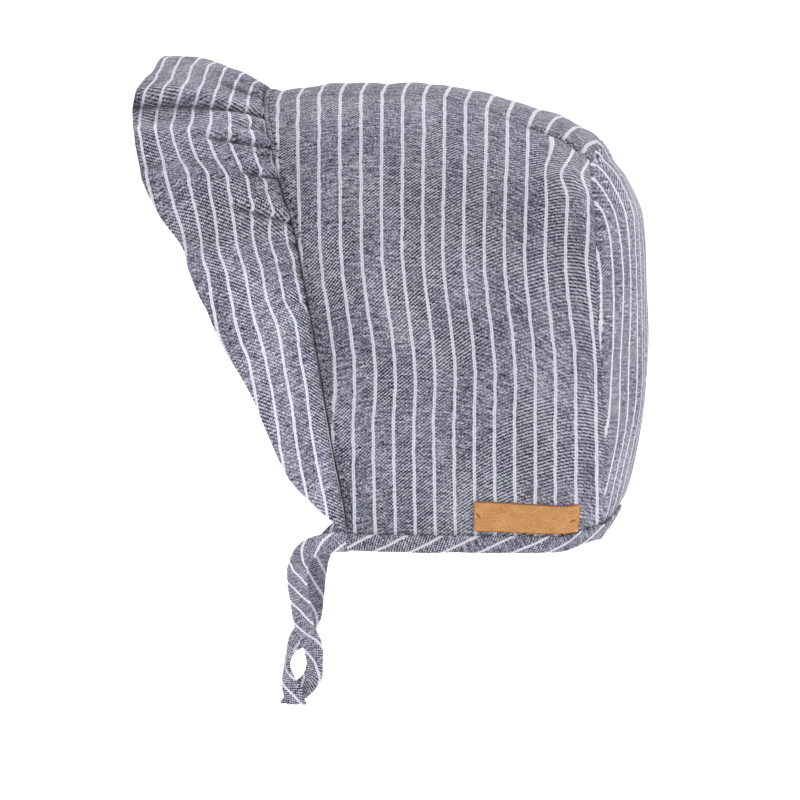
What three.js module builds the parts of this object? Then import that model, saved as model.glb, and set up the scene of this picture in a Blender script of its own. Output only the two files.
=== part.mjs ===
// Baby sun bonnet: a close crown of striped cotton, a horseshoe back panel, a gathered brim,
// a neck binding that runs on into two crossed ties, and a small bare leather label.
// Millimetres, +Z up. The face looks towards -X and the wearer's left side is -Y.
// The origin is on the inside of the crown's top, where the bonnet sits on the head.

import * as THREE from 'three';

// Cloth and seams
const CLOTH_WALL = 1.4;
const BRIM_WALL = 1.6;
const SEAM_GAP = 0.3;

// Crown, from the front seam to the back seam and from the peak to the neck edge
const CROWN_LENGTH = 119.5;
const CROWN_FRONT = 65.4;
const CROWN_HEIGHT = 162;
const CROWN_BREADTH = 124;
const CROWN_FALL = 20.2;
const FRONT_LEAN = 34.5;
const BACK_LEAN = 4.2;
const WIDEST_DOWN = 0.4;
const WIDEST_TURN = 0.5;

// Rise of the neck edge to the nape: the crown's share of it and where it starts on each panel
const NAPE_RISE = 7;
const NAPE_CROWN_SHARE = 0.5;
const NAPE_CROWN_START = 0.84;
const NAPE_BACK_START = 0.5;

// Back panel
const BACK_BULGE = 14.8;
const BACK_ROUNDING = 2.2;

// Brim
const BRIM_WIDTH = 44;
const FOLD_DEPTH = 7;
const FOLD_LEAD = 0.5;
const FOLD_GROWTH = 0.8;
const BRIM_BOW = 0.08;
const BOW_FADE = 0.25;

// Tuck on each side of the crown's top, with its line as a share of the way round, its first
// deepening from the front and its second one towards the dart, as shares of the way back
const TUCK_DEPTH = 1.1;
const TUCK_WIDTH = 0.035;
const TUCK_LINE = 0.12;
const TUCK_FRONT_END = 0.25;
const TUCK_FRONT_SHARE = 0.35;
const TUCK_BACK_START = 0.6;
const TUCK_BACK_REACH = 0.3;
const DART_START = 0.45;
const DART_FALL = 0.037;

// Neck binding
const BINDING_WALL = 1;
const BINDING_HEIGHT = 6.4;
const BINDING_CHAMFER = 0.5;

// Ties
const TIE_WIDTH = 7.2;
const TIE_THICKNESS = 1.8;
const TIE_EDGE = 0.6;
const TIE_DROP = 63.7;
const TIE_FORWARD = 23;
const TIE_PASS = 1.5;
const TIE_SQUARE = 0.1;

// Leather label
const LABEL_LENGTH = 35.7;
const LABEL_HEIGHT = 10.4;
const LABEL_THICKNESS = 1.2;
const LABEL_CORNER = 1.6;
const LABEL_ALONG = 0.705;
const LABEL_TILT = 0.028;
const LABEL_SPAN = 0.05;

// Steps of the meshes
const CROWN_STEPS = 12;
const BACK_STEPS = 12;
const BRIM_STEPS = 9;
const BRIM_STATIONS = 112;
const TIE_STATIONS = 40;
const LABEL_COLUMNS = 14;
const LABEL_ROWS = 3;
const STATION_CROWDING = 0.28;
const SURFACE_STEP = 0.004;
const JUST_INSIDE = 0.98;
const POLE_MARGIN = 0.02;
const MITRE_LIMIT = 0.6;
const SAME_PLACE = 1e-9;

// Outline of the crown's top, seen from the side: shares of its length and of its fall
const TOP_OUTLINE = [
  { along: 0, fall: 0.08 },
  { along: 0.05, fall: 0.13 },
  { along: 0.12, fall: 0.07 },
  { along: 0.22, fall: 0 },
  { along: 0.42, fall: 0.01 },
  { along: 0.56, fall: 0.08 },
  { along: 0.66, fall: 0.2 },
  { along: 0.78, fall: 0.42 },
  { along: 0.89, fall: 0.63 },
  { along: 1, fall: 1 },
];

// Front and back seams, seen from the side: shares of the height and of each seam's lean
const FRONT_SEAM = [
  { down: 0, lean: 0 },
  { down: 0.055, lean: 0.065 },
  { down: 0.13, lean: 0.185 },
  { down: 0.22, lean: 0.33 },
  { down: 0.34, lean: 0.51 },
  { down: 0.44, lean: 0.6 },
  { down: 0.59, lean: 0.72 },
  { down: 0.77, lean: 0.85 },
  { down: 0.94, lean: 0.98 },
  { down: 1, lean: 1 },
];
const BACK_SEAM = [
  { down: 0, lean: 0 },
  { down: 0.07, lean: -0.5 },
  { down: 0.2, lean: 0.05 },
  { down: 0.4, lean: 0.3 },
  { down: 0.8, lean: 0.92 },
  { down: 0.93, lean: 0.75 },
  { down: 1, lean: 0.2 },
];

// Half breadths of the crown from front to back: shares of its half breadth
const BREADTHS = [
  { along: 0, widest: 0.93, neck: 0.79 },
  { along: 0.2, widest: 0.985, neck: 0.84 },
  { along: 0.45, widest: 1, neck: 0.86 },
  { along: 0.7, widest: 0.975, neck: 0.83 },
  { along: 0.85, widest: 0.92, neck: 0.76 },
  { along: 0.94, widest: 0.86, neck: 0.68 },
  { along: 1, widest: 0.79, neck: 0.55 },
];

// Profile of the back panel down its middle: shares of the height and of the bulge
const BACK_PROFILE = [
  { down: 0, bulge: 0 },
  { down: 0.04, bulge: 0.38 },
  { down: 0.1, bulge: 0.76 },
  { down: 0.2, bulge: 0.97 },
  { down: 0.37, bulge: 1 },
  { down: 0.65, bulge: 0.82 },
  { down: 0.88, bulge: 0.45 },
  { down: 0.95, bulge: 0.25 },
  { down: 1, bulge: 0.13 },
];

// Reach of the brim from the seam to its outer edge: shares of the way down the seam and of
// the brim's width
const BRIM_REACH = [
  { round: 0, forward: 0.86, rise: 0.24, flare: 0 },
  { round: 0.1, forward: 0.88, rise: 0.17, flare: 0.22 },
  { round: 0.2, forward: 0.985, rise: 0.07, flare: 0.46 },
  { round: 0.29, forward: 1, rise: 0.06, flare: 0.52 },
  { round: 0.36, forward: 1.01, rise: 0.05, flare: 0.5 },
  { round: 0.42, forward: 0.95, rise: 0, flare: 0.47 },
  { round: 0.47, forward: 0.8, rise: -0.08, flare: 0.46 },
  { round: 0.52, forward: 0.78, rise: -0.1, flare: 0.43 },
  { round: 0.6, forward: 0.68, rise: -0.13, flare: 0.38 },
  { round: 0.7, forward: 0.54, rise: -0.12, flare: 0.29 },
  { round: 0.78, forward: 0.44, rise: -0.15, flare: 0.22 },
  { round: 0.86, forward: 0.35, rise: -0.15, flare: 0.15 },
  { round: 0.93, forward: 0.2, rise: -0.1, flare: 0.07 },
  { round: 1, forward: 0.035, rise: 0, flare: 0 },
];

// Ruffle folds of the brim on each side: the way round, how far they stand out (or in, below
// nought), how wide they are and where they start between the seam and the outer edge
const BRIM_FOLDS = [
  { round: 0.055, out: 0.15, spread: 0.05, start: 0.2 },
  { round: 0.165, out: 0.5, spread: 0.035, start: 0.05 },
  { round: 0.222, out: -0.65, spread: 0.03, start: 0 },
  { round: 0.275, out: 0.25, spread: 0.03, start: 0.3 },
  { round: 0.325, out: -0.32, spread: 0.018, start: 0 },
  { round: 0.37, out: 0.3, spread: 0.025, start: 0.1 },
  { round: 0.44, out: -0.45, spread: 0.02, start: 0 },
  { round: 0.485, out: 0.25, spread: 0.025, start: 0.1 },
  { round: 0.56, out: -0.22, spread: 0.022, start: 0.2 },
  { round: 0.63, out: 0.18, spread: 0.03, start: 0.3 },
  { round: 0.72, out: -0.12, spread: 0.03, start: 0.3 },
];

// Route of each tie: shares of the forward reach, of the neck's half breadth and of the drop.
// turn is the tape's turn from upright to lying across, roll its twist about its own length
// and side the side of the middle plane that it keeps to where the two pass, in passes.
const TIE_LEFT_ROUTE = [
  { forward: 0, inward: 0, down: 0, turn: 0, roll: 0, side: 0 },
  { forward: 0.34, inward: 0.09, down: 0.017, turn: 0.1, roll: 0, side: 0 },
  { forward: 0.69, inward: 0.24, down: 0.072, turn: 0.5, roll: 0, side: 0 },
  { forward: 0.865, inward: 0.4, down: 0.169, turn: 0.85, roll: 0, side: 0 },
  { forward: 0.925, inward: 0.58, down: 0.28, turn: 1, roll: 0, side: 0 },
  { forward: 0.93, inward: 0.77, down: 0.405, turn: 1, roll: 0, side: 0.2 },
  { forward: 0.93, inward: 0.92, down: 0.512, turn: 1, roll: 0, side: 0.7 },
  { forward: 0.88, inward: 1, down: 0.595, turn: 1, roll: 0, side: 1 },
  { forward: 0.79, inward: 1, down: 0.675, turn: 1, roll: 0.3, side: 0.8 },
  { forward: 0.77, inward: 1, down: 0.765, turn: 1, roll: 0.5, side: 0 },
  { forward: 0.82, inward: 1, down: 0.85, turn: 1, roll: 0.2, side: -0.7 },
  { forward: 1, inward: 1, down: 0.925, turn: 1, roll: 0, side: -1 },
  { forward: 1.2, inward: 1, down: 1, turn: 1, roll: 0, side: -1 },
];
const TIE_RIGHT_ROUTE = [
  { forward: 0, inward: 0, down: 0, turn: 0, roll: 0, side: 0 },
  { forward: 0.33, inward: 0.09, down: 0.017, turn: 0.1, roll: 0, side: 0 },
  { forward: 0.66, inward: 0.23, down: 0.08, turn: 0.5, roll: 0, side: 0 },
  { forward: 0.83, inward: 0.39, down: 0.185, turn: 0.85, roll: 0, side: 0 },
  { forward: 0.86, inward: 0.57, down: 0.304, turn: 1, roll: 0, side: 0 },
  { forward: 0.85, inward: 0.76, down: 0.425, turn: 1, roll: 0, side: 0.2 },
  { forward: 0.86, inward: 0.92, down: 0.521, turn: 1, roll: 0, side: 0.7 },
  { forward: 0.97, inward: 1, down: 0.597, turn: 1, roll: 0, side: 1 },
  { forward: 1.14, inward: 1, down: 0.68, turn: 1, roll: 0.6, side: 0.8 },
  { forward: 1.21, inward: 1, down: 0.77, turn: 1, roll: 0.85, side: 0 },
  { forward: 1.19, inward: 1, down: 0.85, turn: 1, roll: 0.55, side: -0.7 },
  { forward: 1.12, inward: 1, down: 0.925, turn: 1, roll: 0.1, side: -1 },
  { forward: 1.05, inward: 1, down: 1, turn: 1, roll: 0, side: -1 },
];

// Smooth curve through one column of a table, without overshoot between its rows
function tableCurve(rows, key, column) {
  const count = rows.length;
  const slopes = [];
  for (let i = 0; i < count - 1; i += 1) {
    slopes.push((rows[i + 1][column] - rows[i][column]) / (rows[i + 1][key] - rows[i][key]));
  }
  const tangents = rows.map((row, i) => {
    const before = slopes[Math.max(i - 1, 0)];
    const after = slopes[Math.min(i, count - 2)];
    if (before * after <= 0) {
      return 0;
    }
    return (2 * before * after) / (before + after);
  });
  return (place) => {
    const at = Math.min(Math.max(place, rows[0][key]), rows[count - 1][key]);
    let i = 0;
    while (i < count - 2 && at > rows[i + 1][key]) {
      i += 1;
    }
    const step = rows[i + 1][key] - rows[i][key];
    const t = (at - rows[i][key]) / step;
    const start = rows[i][column] * (1 + 2 * t) * (1 - t) ** 2;
    const end = rows[i + 1][column] * t * t * (3 - 2 * t);
    const bend = step * (tangents[i] * t * (1 - t) ** 2 - tangents[i + 1] * t * t * (1 - t));
    return start + end + bend;
  };
}

const topFall = tableCurve(TOP_OUTLINE, 'along', 'fall');
const frontLean = tableCurve(FRONT_SEAM, 'down', 'lean');
const backLean = tableCurve(BACK_SEAM, 'down', 'lean');
const widestShare = tableCurve(BREADTHS, 'along', 'widest');
const neckShare = tableCurve(BREADTHS, 'along', 'neck');
const backBulge = tableCurve(BACK_PROFILE, 'down', 'bulge');
const brimForward = tableCurve(BRIM_REACH, 'round', 'forward');
const brimRise = tableCurve(BRIM_REACH, 'round', 'rise');
const brimFlare = tableCurve(BRIM_REACH, 'round', 'flare');

const smooth = (value) => {
  const share = Math.min(Math.max(value, 0), 1);
  return share * share * (3 - 2 * share);
};

// Unit normal of a surface given by a function of two shares
function surfaceNormal(surface, a, b, lowA, highA, lowB, highB) {
  const [aheadA, behindA] = [Math.min(a + SURFACE_STEP, highA), Math.max(a - SURFACE_STEP, lowA)];
  const [aheadB, behindB] = [Math.min(b + SURFACE_STEP, highB), Math.max(b - SURFACE_STEP, lowB)];
  const alongA = surface(aheadA, b).sub(surface(behindA, b));
  const alongB = surface(a, aheadB).sub(surface(a, behindB));
  return alongA.cross(alongB).normalize();
}

// The crown's middle surface: along runs from the front seam (0) to the back seam (1), round
// from the left neck edge (-1) over the top (0) to the right neck edge (1)
const seatHeight = CLOTH_WALL / 2 + CROWN_FALL * topFall(CROWN_FRONT / CROWN_LENGTH);

function crownBase(along, round) {
  const side = Math.abs(round);
  const top = seatHeight - CROWN_FALL * topFall(along);
  const nape = smooth((along - NAPE_CROWN_START) / (1 - NAPE_CROWN_START));
  const bottom = seatHeight - CROWN_HEIGHT + NAPE_CROWN_SHARE * NAPE_RISE * nape;
  const widest = (CROWN_BREADTH / 2) * widestShare(along);
  const neck = (CROWN_BREADTH / 2) * neckShare(along);
  let across;
  let down;
  if (side < WIDEST_TURN) {
    const angle = (side / WIDEST_TURN) * (Math.PI / 2);
    across = widest * Math.sin(angle);
    down = WIDEST_DOWN * (1 - Math.cos(angle));
  } else {
    const low = (side - WIDEST_TURN) / (1 - WIDEST_TURN);
    across = widest - (widest - neck) * low * low;
    down = WIDEST_DOWN + (1 - WIDEST_DOWN) * low;
  }
  const front = FRONT_LEAN * frontLean(down) - CROWN_FRONT;
  const back = CROWN_LENGTH - CROWN_FRONT + BACK_LEAN * backLean(down);
  const x = front + (back - front) * along;
  return new THREE.Vector3(x, Math.sign(round) * across, top + (bottom - top) * down);
}

const crownBaseNormal = (along, round) => surfaceNormal(crownBase, along, round, 0, 1, -1, 1);

// The tuck runs back along each side of the top and falls to the back seam as a dart
function tuckDepth(along, round) {
  const line = TUCK_LINE + DART_FALL * smooth((along - DART_START) / (1 - DART_START));
  const away = (Math.abs(round) - line) / TUCK_WIDTH;
  const deepening = (1 - TUCK_FRONT_SHARE) * smooth((along - TUCK_BACK_START) / TUCK_BACK_REACH);
  const reach = smooth(along / TUCK_FRONT_END) * (TUCK_FRONT_SHARE + deepening);
  return TUCK_DEPTH * reach * Math.exp(-away * away);
}

function crownPoint(along, round) {
  const dent = crownBaseNormal(along, round).multiplyScalar(-tuckDepth(along, round));
  return crownBase(along, round).add(dent);
}

const crownNormal = (along, round) => surfaceNormal(crownPoint, along, round, 0, 1, -1, 1);

// The back panel's middle surface: across runs from its left seam (-1) to its right one (1)
// and down from the top of the horseshoe (0) to the neck edge (1)
function backPoint(across, down) {
  const seam = crownPoint(1, down);
  const fall = (seatHeight - CROWN_FALL - seam.z) / (CROWN_HEIGHT - CROWN_FALL);
  const bulge = BACK_BULGE * backBulge(fall) * (1 - Math.abs(across) ** BACK_ROUNDING);
  const nape = smooth((fall - NAPE_BACK_START) / (1 - NAPE_BACK_START));
  const rise = (1 - NAPE_CROWN_SHARE) * NAPE_RISE * nape * (1 - across * across);
  return new THREE.Vector3(seam.x + bulge, seam.y * across, seam.z + rise);
}

// Near the top of the horseshoe the rows close up, so the normal is taken just below it
function backNormal(across, down) {
  const clear = Math.max(down, 2 * POLE_MARGIN);
  return surfaceNormal(backPoint, across, clear, -1, 1, POLE_MARGIN, 1).negate();
}

// The brim's middle surface: round as the crown's, out from the seam (0) to its edge (1)
const bindingBelow = SEAM_GAP + BINDING_WALL;
const brimEnd = 1 - ((BINDING_HEIGHT - bindingBelow + 2 * SEAM_GAP)
  / (CROWN_HEIGHT * (1 - WIDEST_DOWN))) * (1 - WIDEST_TURN);

function foldHeight(round, out) {
  let height = 0;
  for (const fold of BRIM_FOLDS) {
    const away = (Math.abs(round) - fold.round) / fold.spread;
    const start = FOLD_LEAD * fold.start;
    const grow = smooth((out - start) / (1 - start)) ** FOLD_GROWTH;
    height += FOLD_DEPTH * fold.out * grow * Math.exp(-away * away);
  }
  return height;
}

function brimBase(round, out) {
  const seam = crownPoint(0, round * brimEnd);
  const side = Math.abs(round);
  const bowShare = BRIM_BOW * (1 - side) * smooth((1 - side) / BOW_FADE);
  const outward = crownBaseNormal(0, round * brimEnd);
  seam.x -= BRIM_WIDTH * brimForward(side) * out;
  seam.y += Math.sign(round) * BRIM_WIDTH * brimFlare(side) * out;
  seam.z += BRIM_WIDTH * brimRise(side) * out;
  return seam.addScaledVector(outward, BRIM_WIDTH * bowShare * Math.sin(Math.PI * out));
}

function brimPoint(round, out) {
  const outward = crownBaseNormal(0, round * brimEnd);
  return brimBase(round, out).addScaledVector(outward, foldHeight(round, out));
}

const brimNormal = (round, out) => surfaceNormal(brimPoint, round, out, -1, 1, 0, 1);

// Solid from faces of three or four points: shared points are joined, flat faces dropped and
// the whole turned outward
function solidFromFaces(faces) {
  const places = [];
  const indices = [];
  const known = new Map();
  const indexOf = (point) => {
    const key = [point.x, point.y, point.z].map((value) => Math.round(value * 1000)).join(' ');
    if (!known.has(key)) {
      known.set(key, places.length / 3);
      places.push(point.x, point.y, point.z);
    }
    return known.get(key);
  };
  const addTriangle = (a, b, c) => {
    if (a !== b && b !== c && c !== a) {
      indices.push(a, b, c);
    }
  };
  for (const face of faces) {
    const [a, b, c, d] = face.map(indexOf);
    if (face.length === 3) {
      addTriangle(a, b, c);
    } else if (face[0].distanceTo(face[2]) <= face[1].distanceTo(face[3])) {
      addTriangle(a, b, c);
      addTriangle(a, c, d);
    } else {
      addTriangle(a, b, d);
      addTriangle(b, c, d);
    }
  }
  const point = (index) => new THREE.Vector3().fromArray(places, index * 3);
  let volume = 0;
  for (let i = 0; i < indices.length; i += 3) {
    const [a, b, c] = [point(indices[i]), point(indices[i + 1]), point(indices[i + 2])];
    volume += a.dot(b.cross(c));
  }
  if (volume < 0) {
    indices.reverse();
  }
  const geometry = new THREE.BufferGeometry();
  geometry.setAttribute('position', new THREE.Float32BufferAttribute(places, 3));
  geometry.setIndex(indices);
  return geometry;
}

// Wall on both sides of a grid of middle points; offsets hold half the wall at each point
function shell(middles, offsets) {
  const outer = middles.map((row, i) => row.map((point, j) => point.clone().add(offsets[i][j])));
  const inner = middles.map((row, i) => row.map((point, j) => point.clone().sub(offsets[i][j])));
  const lastRow = middles.length - 1;
  const lastColumn = middles[0].length - 1;
  const faces = [];
  for (let i = 0; i < lastRow; i += 1) {
    for (let j = 0; j < lastColumn; j += 1) {
      faces.push([outer[i][j], outer[i + 1][j], outer[i + 1][j + 1], outer[i][j + 1]]);
      faces.push([inner[i][j], inner[i][j + 1], inner[i + 1][j + 1], inner[i + 1][j]]);
    }
    faces.push([outer[i][0], inner[i][0], inner[i + 1][0], outer[i + 1][0]]);
    faces.push([outer[i + 1][lastColumn], inner[i + 1][lastColumn],
      inner[i][lastColumn], outer[i][lastColumn]]);
  }
  for (let j = 0; j < lastColumn; j += 1) {
    faces.push([outer[0][j + 1], inner[0][j + 1], inner[0][j], outer[0][j]]);
    faces.push([outer[lastRow][j], inner[lastRow][j],
      inner[lastRow][j + 1], outer[lastRow][j + 1]]);
  }
  return solidFromFaces(faces);
}

// Seam between two surfaces: both edges take the mean of the two normals, so that their edge
// faces run side by side, and each edge steps back by half the seam's gap
function seamEdge(middle, ownNormal, otherNormal, along, wall, sign) {
  const mean = ownNormal.clone().add(otherNormal).normalize();
  const across = new THREE.Vector3().crossVectors(along, mean).normalize();
  const widen = 1 / Math.max(mean.dot(ownNormal), MITRE_LIMIT);
  return {
    middle: middle.clone().addScaledVector(across, (sign * SEAM_GAP) / 2),
    offset: mean.multiplyScalar((wall / 2) * widen),
  };
}

function tangentAt(surface, round) {
  const ahead = Math.min(round + SURFACE_STEP, 1);
  const behind = Math.max(round - SURFACE_STEP, -1);
  return surface(ahead).sub(surface(behind)).normalize();
}

const frontSeamTangent = (round) => tangentAt((place) => crownPoint(0, place), round);
const backSeamTangent = (round) => tangentAt((place) => crownPoint(1, place), round);
const brimRootNormal = (round) => brimNormal(Math.min(Math.max(round / brimEnd, -1), 1), 0);
const backEdgeNormal = (round) => backNormal(Math.sign(round) || 1, Math.abs(round));

// Stations round the front seam, closer together where the brim's folds lie
function roundStations(count) {
  const stations = [];
  for (let i = 0; i <= count; i += 1) {
    const even = (2 * i) / count - 1;
    const crowding = (STATION_CROWDING * Math.sin(2 * Math.PI * even)) / (2 * Math.PI);
    stations.push(even - crowding);
  }
  return stations;
}

const brimRounds = roundStations(BRIM_STATIONS);
const crownRounds = roundStations(BRIM_STATIONS / 2);

function crownPanel() {
  const middles = [];
  const offsets = [];
  for (const round of crownRounds) {
    const rowMiddles = [];
    const rowOffsets = [];
    for (let i = 0; i <= CROWN_STEPS; i += 1) {
      const along = i / CROWN_STEPS;
      const normal = crownNormal(along, round);
      let middle = crownPoint(along, round);
      let offset = normal.clone().multiplyScalar(CLOTH_WALL / 2);
      if (i === 0) {
        const tangent = frontSeamTangent(round);
        const root = brimRootNormal(round);
        ({ middle, offset } = seamEdge(middle, normal, root, tangent, CLOTH_WALL, 1));
      } else if (i === CROWN_STEPS) {
        const tangent = backSeamTangent(round);
        const back = backEdgeNormal(round);
        ({ middle, offset } = seamEdge(middle, normal, back, tangent, CLOTH_WALL, -1));
      }
      rowMiddles.push(middle);
      rowOffsets.push(offset);
    }
    middles.push(rowMiddles);
    offsets.push(rowOffsets);
  }
  return shell(middles, offsets);
}

function backPanel() {
  const middles = [];
  const offsets = [];
  const downs = crownRounds.filter((round) => round >= -SAME_PLACE).map(Math.abs);
  for (const down of downs) {
    const rowMiddles = [];
    const rowOffsets = [];
    for (let i = 0; i <= BACK_STEPS; i += 1) {
      const across = (2 * i) / BACK_STEPS - 1;
      const normal = backNormal(across, down);
      let middle = backPoint(across, down);
      let offset = normal.clone().multiplyScalar(CLOTH_WALL / 2);
      if (i === 0 || i === BACK_STEPS || down < SAME_PLACE) {
        const round = down * Math.sign(across);
        const seamNormal = crownNormal(1, round);
        const own = backEdgeNormal(round);
        const tangent = backSeamTangent(round);
        ({ middle, offset } = seamEdge(middle, own, seamNormal, tangent, CLOTH_WALL, 1));
      }
      rowMiddles.push(middle);
      rowOffsets.push(offset);
    }
    middles.push(rowMiddles);
    offsets.push(rowOffsets);
  }
  return shell(middles, offsets);
}

function brim() {
  const middles = [];
  const offsets = [];
  for (const round of brimRounds) {
    const rowMiddles = [];
    const rowOffsets = [];
    for (let i = 0; i <= BRIM_STEPS; i += 1) {
      const out = i / BRIM_STEPS;
      const normal = brimNormal(round, out);
      let middle = brimPoint(round, out);
      let offset = normal.clone().multiplyScalar(BRIM_WALL / 2);
      if (i === 0) {
        const seamRound = round * brimEnd;
        const tangent = frontSeamTangent(seamRound);
        const crown = crownNormal(0, seamRound);
        ({ middle, offset } = seamEdge(middle, normal, crown, tangent, BRIM_WALL, -1));
      }
      rowMiddles.push(middle);
      rowOffsets.push(offset);
    }
    middles.push(rowMiddles);
    offsets.push(rowOffsets);
  }
  return shell(middles, offsets);
}

// Stations along the neck edge, from the left front corner round the nape to the right one
function neckStations() {
  const stations = [];
  const add = (surface, a, b, insideA, insideB, normal) => {
    const point = surface(a, b);
    const up = surface(insideA, insideB).sub(point).normalize();
    stations.push({ point, up, normal });
  };
  for (let i = 0; i < CROWN_STEPS; i += 1) {
    const along = i / CROWN_STEPS;
    add(crownPoint, along, -1, along, -JUST_INSIDE, crownNormal(along, -1));
  }
  for (let i = 0; i <= BACK_STEPS; i += 1) {
    const across = (2 * i) / BACK_STEPS - 1;
    const normal = backNormal(across, 1);
    if (i === 0 || i === BACK_STEPS) {
      normal.add(crownNormal(1, across)).normalize();
    }
    add(backPoint, across, 1, across, JUST_INSIDE, normal);
  }
  for (let i = CROWN_STEPS - 1; i >= 0; i -= 1) {
    const along = i / CROWN_STEPS;
    add(crownPoint, along, 1, along, JUST_INSIDE, crownNormal(along, 1));
  }
  return stations;
}

// Solid swept through closed sections of equal point count, with flat ends
function sweptSolid(sections, capFaces) {
  const faces = [];
  const count = sections[0].length;
  for (let i = 0; i < sections.length - 1; i += 1) {
    for (let j = 0; j < count; j += 1) {
      const next = (j + 1) % count;
      faces.push([sections[i][j], sections[i][next], sections[i + 1][next], sections[i + 1][j]]);
    }
  }
  const last = sections[sections.length - 1];
  for (const [a, b, c] of capFaces) {
    faces.push([sections[0][c], sections[0][b], sections[0][a]]);
    faces.push([last[a], last[b], last[c]]);
  }
  return solidFromFaces(faces);
}

const capOf = (outline) => THREE.ShapeUtils.triangulateShape(outline, []);

function neckBinding() {
  const inner = CLOTH_WALL / 2 + SEAM_GAP;
  const outer = inner + BINDING_WALL;
  const bottom = -bindingBelow;
  const top = bottom + BINDING_HEIGHT;
  const outline = [
    new THREE.Vector2(outer, bottom + BINDING_CHAMFER),
    new THREE.Vector2(outer, top),
    new THREE.Vector2(inner, top),
    new THREE.Vector2(inner, -SEAM_GAP),
    new THREE.Vector2(-inner, -SEAM_GAP),
    new THREE.Vector2(-inner, top),
    new THREE.Vector2(-outer, top),
    new THREE.Vector2(-outer, bottom + BINDING_CHAMFER),
    new THREE.Vector2(BINDING_CHAMFER - outer, bottom),
    new THREE.Vector2(outer - BINDING_CHAMFER, bottom),
  ];
  const sections = neckStations().map(({ point, up, normal }) =>
    outline.map(({ x, y }) => point.clone().addScaledVector(normal, x).addScaledVector(up, y)));
  return sweptSolid(sections, capOf(outline));
}

// One tie: a flat tape swept along its route from the front end of the binding
function tie(route, sign) {
  const start = crownPoint(0, sign);
  const up = crownPoint(0, sign * JUST_INSIDE).sub(start).normalize();
  const forward = new THREE.Vector3().crossVectors(crownNormal(0, sign), up).normalize();
  forward.multiplyScalar(-Math.sign(forward.x));
  const middle = start.addScaledVector(up, BINDING_HEIGHT / 2 - bindingBelow);
  middle.addScaledVector(forward, SEAM_GAP);
  const half = new THREE.Vector2(TIE_WIDTH / 2, TIE_THICKNESS / 2);
  const outline = [
    new THREE.Vector2(half.x, 0),
    new THREE.Vector2(half.x - TIE_EDGE, half.y),
    new THREE.Vector2(TIE_EDGE - half.x, half.y),
    new THREE.Vector2(-half.x, 0),
    new THREE.Vector2(TIE_EDGE - half.x, -half.y),
    new THREE.Vector2(half.x - TIE_EDGE, -half.y),
  ];
  const knots = route.map((row) => new THREE.Vector3(
    middle.x - TIE_FORWARD * row.forward,
    middle.y * (1 - row.inward) + sign * TIE_PASS * row.side,
    middle.z - TIE_DROP * row.down,
  ));
  const path = new THREE.CatmullRomCurve3(knots, false, 'centripetal');
  const rows = route.map((row, i) => ({ ...row, at: i / (route.length - 1) }));
  const turnAt = tableCurve(rows, 'at', 'turn');
  const rollAt = tableCurve(rows, 'at', 'roll');
  const sections = [];
  for (let i = 0; i <= TIE_STATIONS; i += 1) {
    const at = i / TIE_STATIONS;
    const point = path.getPoint(at);
    const tangent = path.getTangent(at);
    const turn = turnAt(at) * (Math.PI / 2);
    const width = up.clone().multiplyScalar(Math.cos(turn));
    width.x -= Math.sin(turn);
    const square = smooth(at / TIE_SQUARE) * smooth((1 - at) / TIE_SQUARE);
    width.addScaledVector(tangent, -width.dot(tangent) * square).normalize();
    width.applyAxisAngle(tangent, sign * rollAt(at) * (Math.PI / 2));
    const lead = forward.clone().lerp(tangent, smooth(at / TIE_SQUARE));
    const thick = new THREE.Vector3().crossVectors(lead, width).normalize();
    sections.push(outline.map(({ x, y }) =>
      point.clone().addScaledVector(width, x).addScaledVector(thick, y)));
  }
  return sweptSolid(sections, capOf(outline));
}

// The label lies on the crown just above the binding, with rounded corners
function leatherLabel() {
  const bindingShare = (BINDING_HEIGHT - bindingBelow) / (CROWN_HEIGHT * (1 - WIDEST_DOWN));
  const edge = -1 + bindingShare * (1 - WIDEST_TURN);
  const corner = crownPoint(LABEL_ALONG, edge);
  const alongLength = corner.distanceTo(crownPoint(LABEL_ALONG + LABEL_SPAN, edge)) / LABEL_SPAN;
  const roundLength = corner.distanceTo(crownPoint(LABEL_ALONG, edge + LABEL_SPAN)) / LABEL_SPAN;
  const lift = CLOTH_WALL / 2 + SEAM_GAP + LABEL_THICKNESS / 2;
  const low = 2 * SEAM_GAP + LABEL_TILT * (LABEL_LENGTH / 2) + LABEL_HEIGHT / 2;
  const middles = [];
  const offsets = [];
  for (let i = 0; i <= LABEL_COLUMNS; i += 1) {
    const across = (-LABEL_LENGTH / 2) * Math.cos((Math.PI * i) / LABEL_COLUMNS);
    const toEnd = LABEL_LENGTH / 2 - Math.abs(across);
    const round = LABEL_CORNER - Math.min(toEnd, LABEL_CORNER);
    const half = LABEL_HEIGHT / 2 - LABEL_CORNER + Math.sqrt(LABEL_CORNER ** 2 - round ** 2);
    const rowMiddles = [];
    const rowOffsets = [];
    for (let j = 0; j <= LABEL_ROWS; j += 1) {
      const height = half * ((2 * j) / LABEL_ROWS - 1);
      const turnedX = across + LABEL_TILT * height;
      const turnedY = low + height - LABEL_TILT * across;
      const along = LABEL_ALONG + turnedX / alongLength;
      const place = edge + turnedY / roundLength;
      const normal = crownNormal(along, place);
      rowMiddles.push(crownPoint(along, place).addScaledVector(normal, lift));
      rowOffsets.push(normal.multiplyScalar(LABEL_THICKNESS / 2));
    }
    middles.push(rowMiddles);
    offsets.push(rowOffsets);
  }
  return shell(middles, offsets);
}

const cloth = new THREE.MeshStandardMaterial({ color: 0x8e90a2, roughness: 0.92, metalness: 0 });
const tape = new THREE.MeshStandardMaterial({ color: 0x8a8b9c, roughness: 0.92, metalness: 0 });
const leather = new THREE.MeshStandardMaterial({ color: 0xcf9a5f, roughness: 0.6, metalness: 0 });

const bonnet = new THREE.Group();

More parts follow.
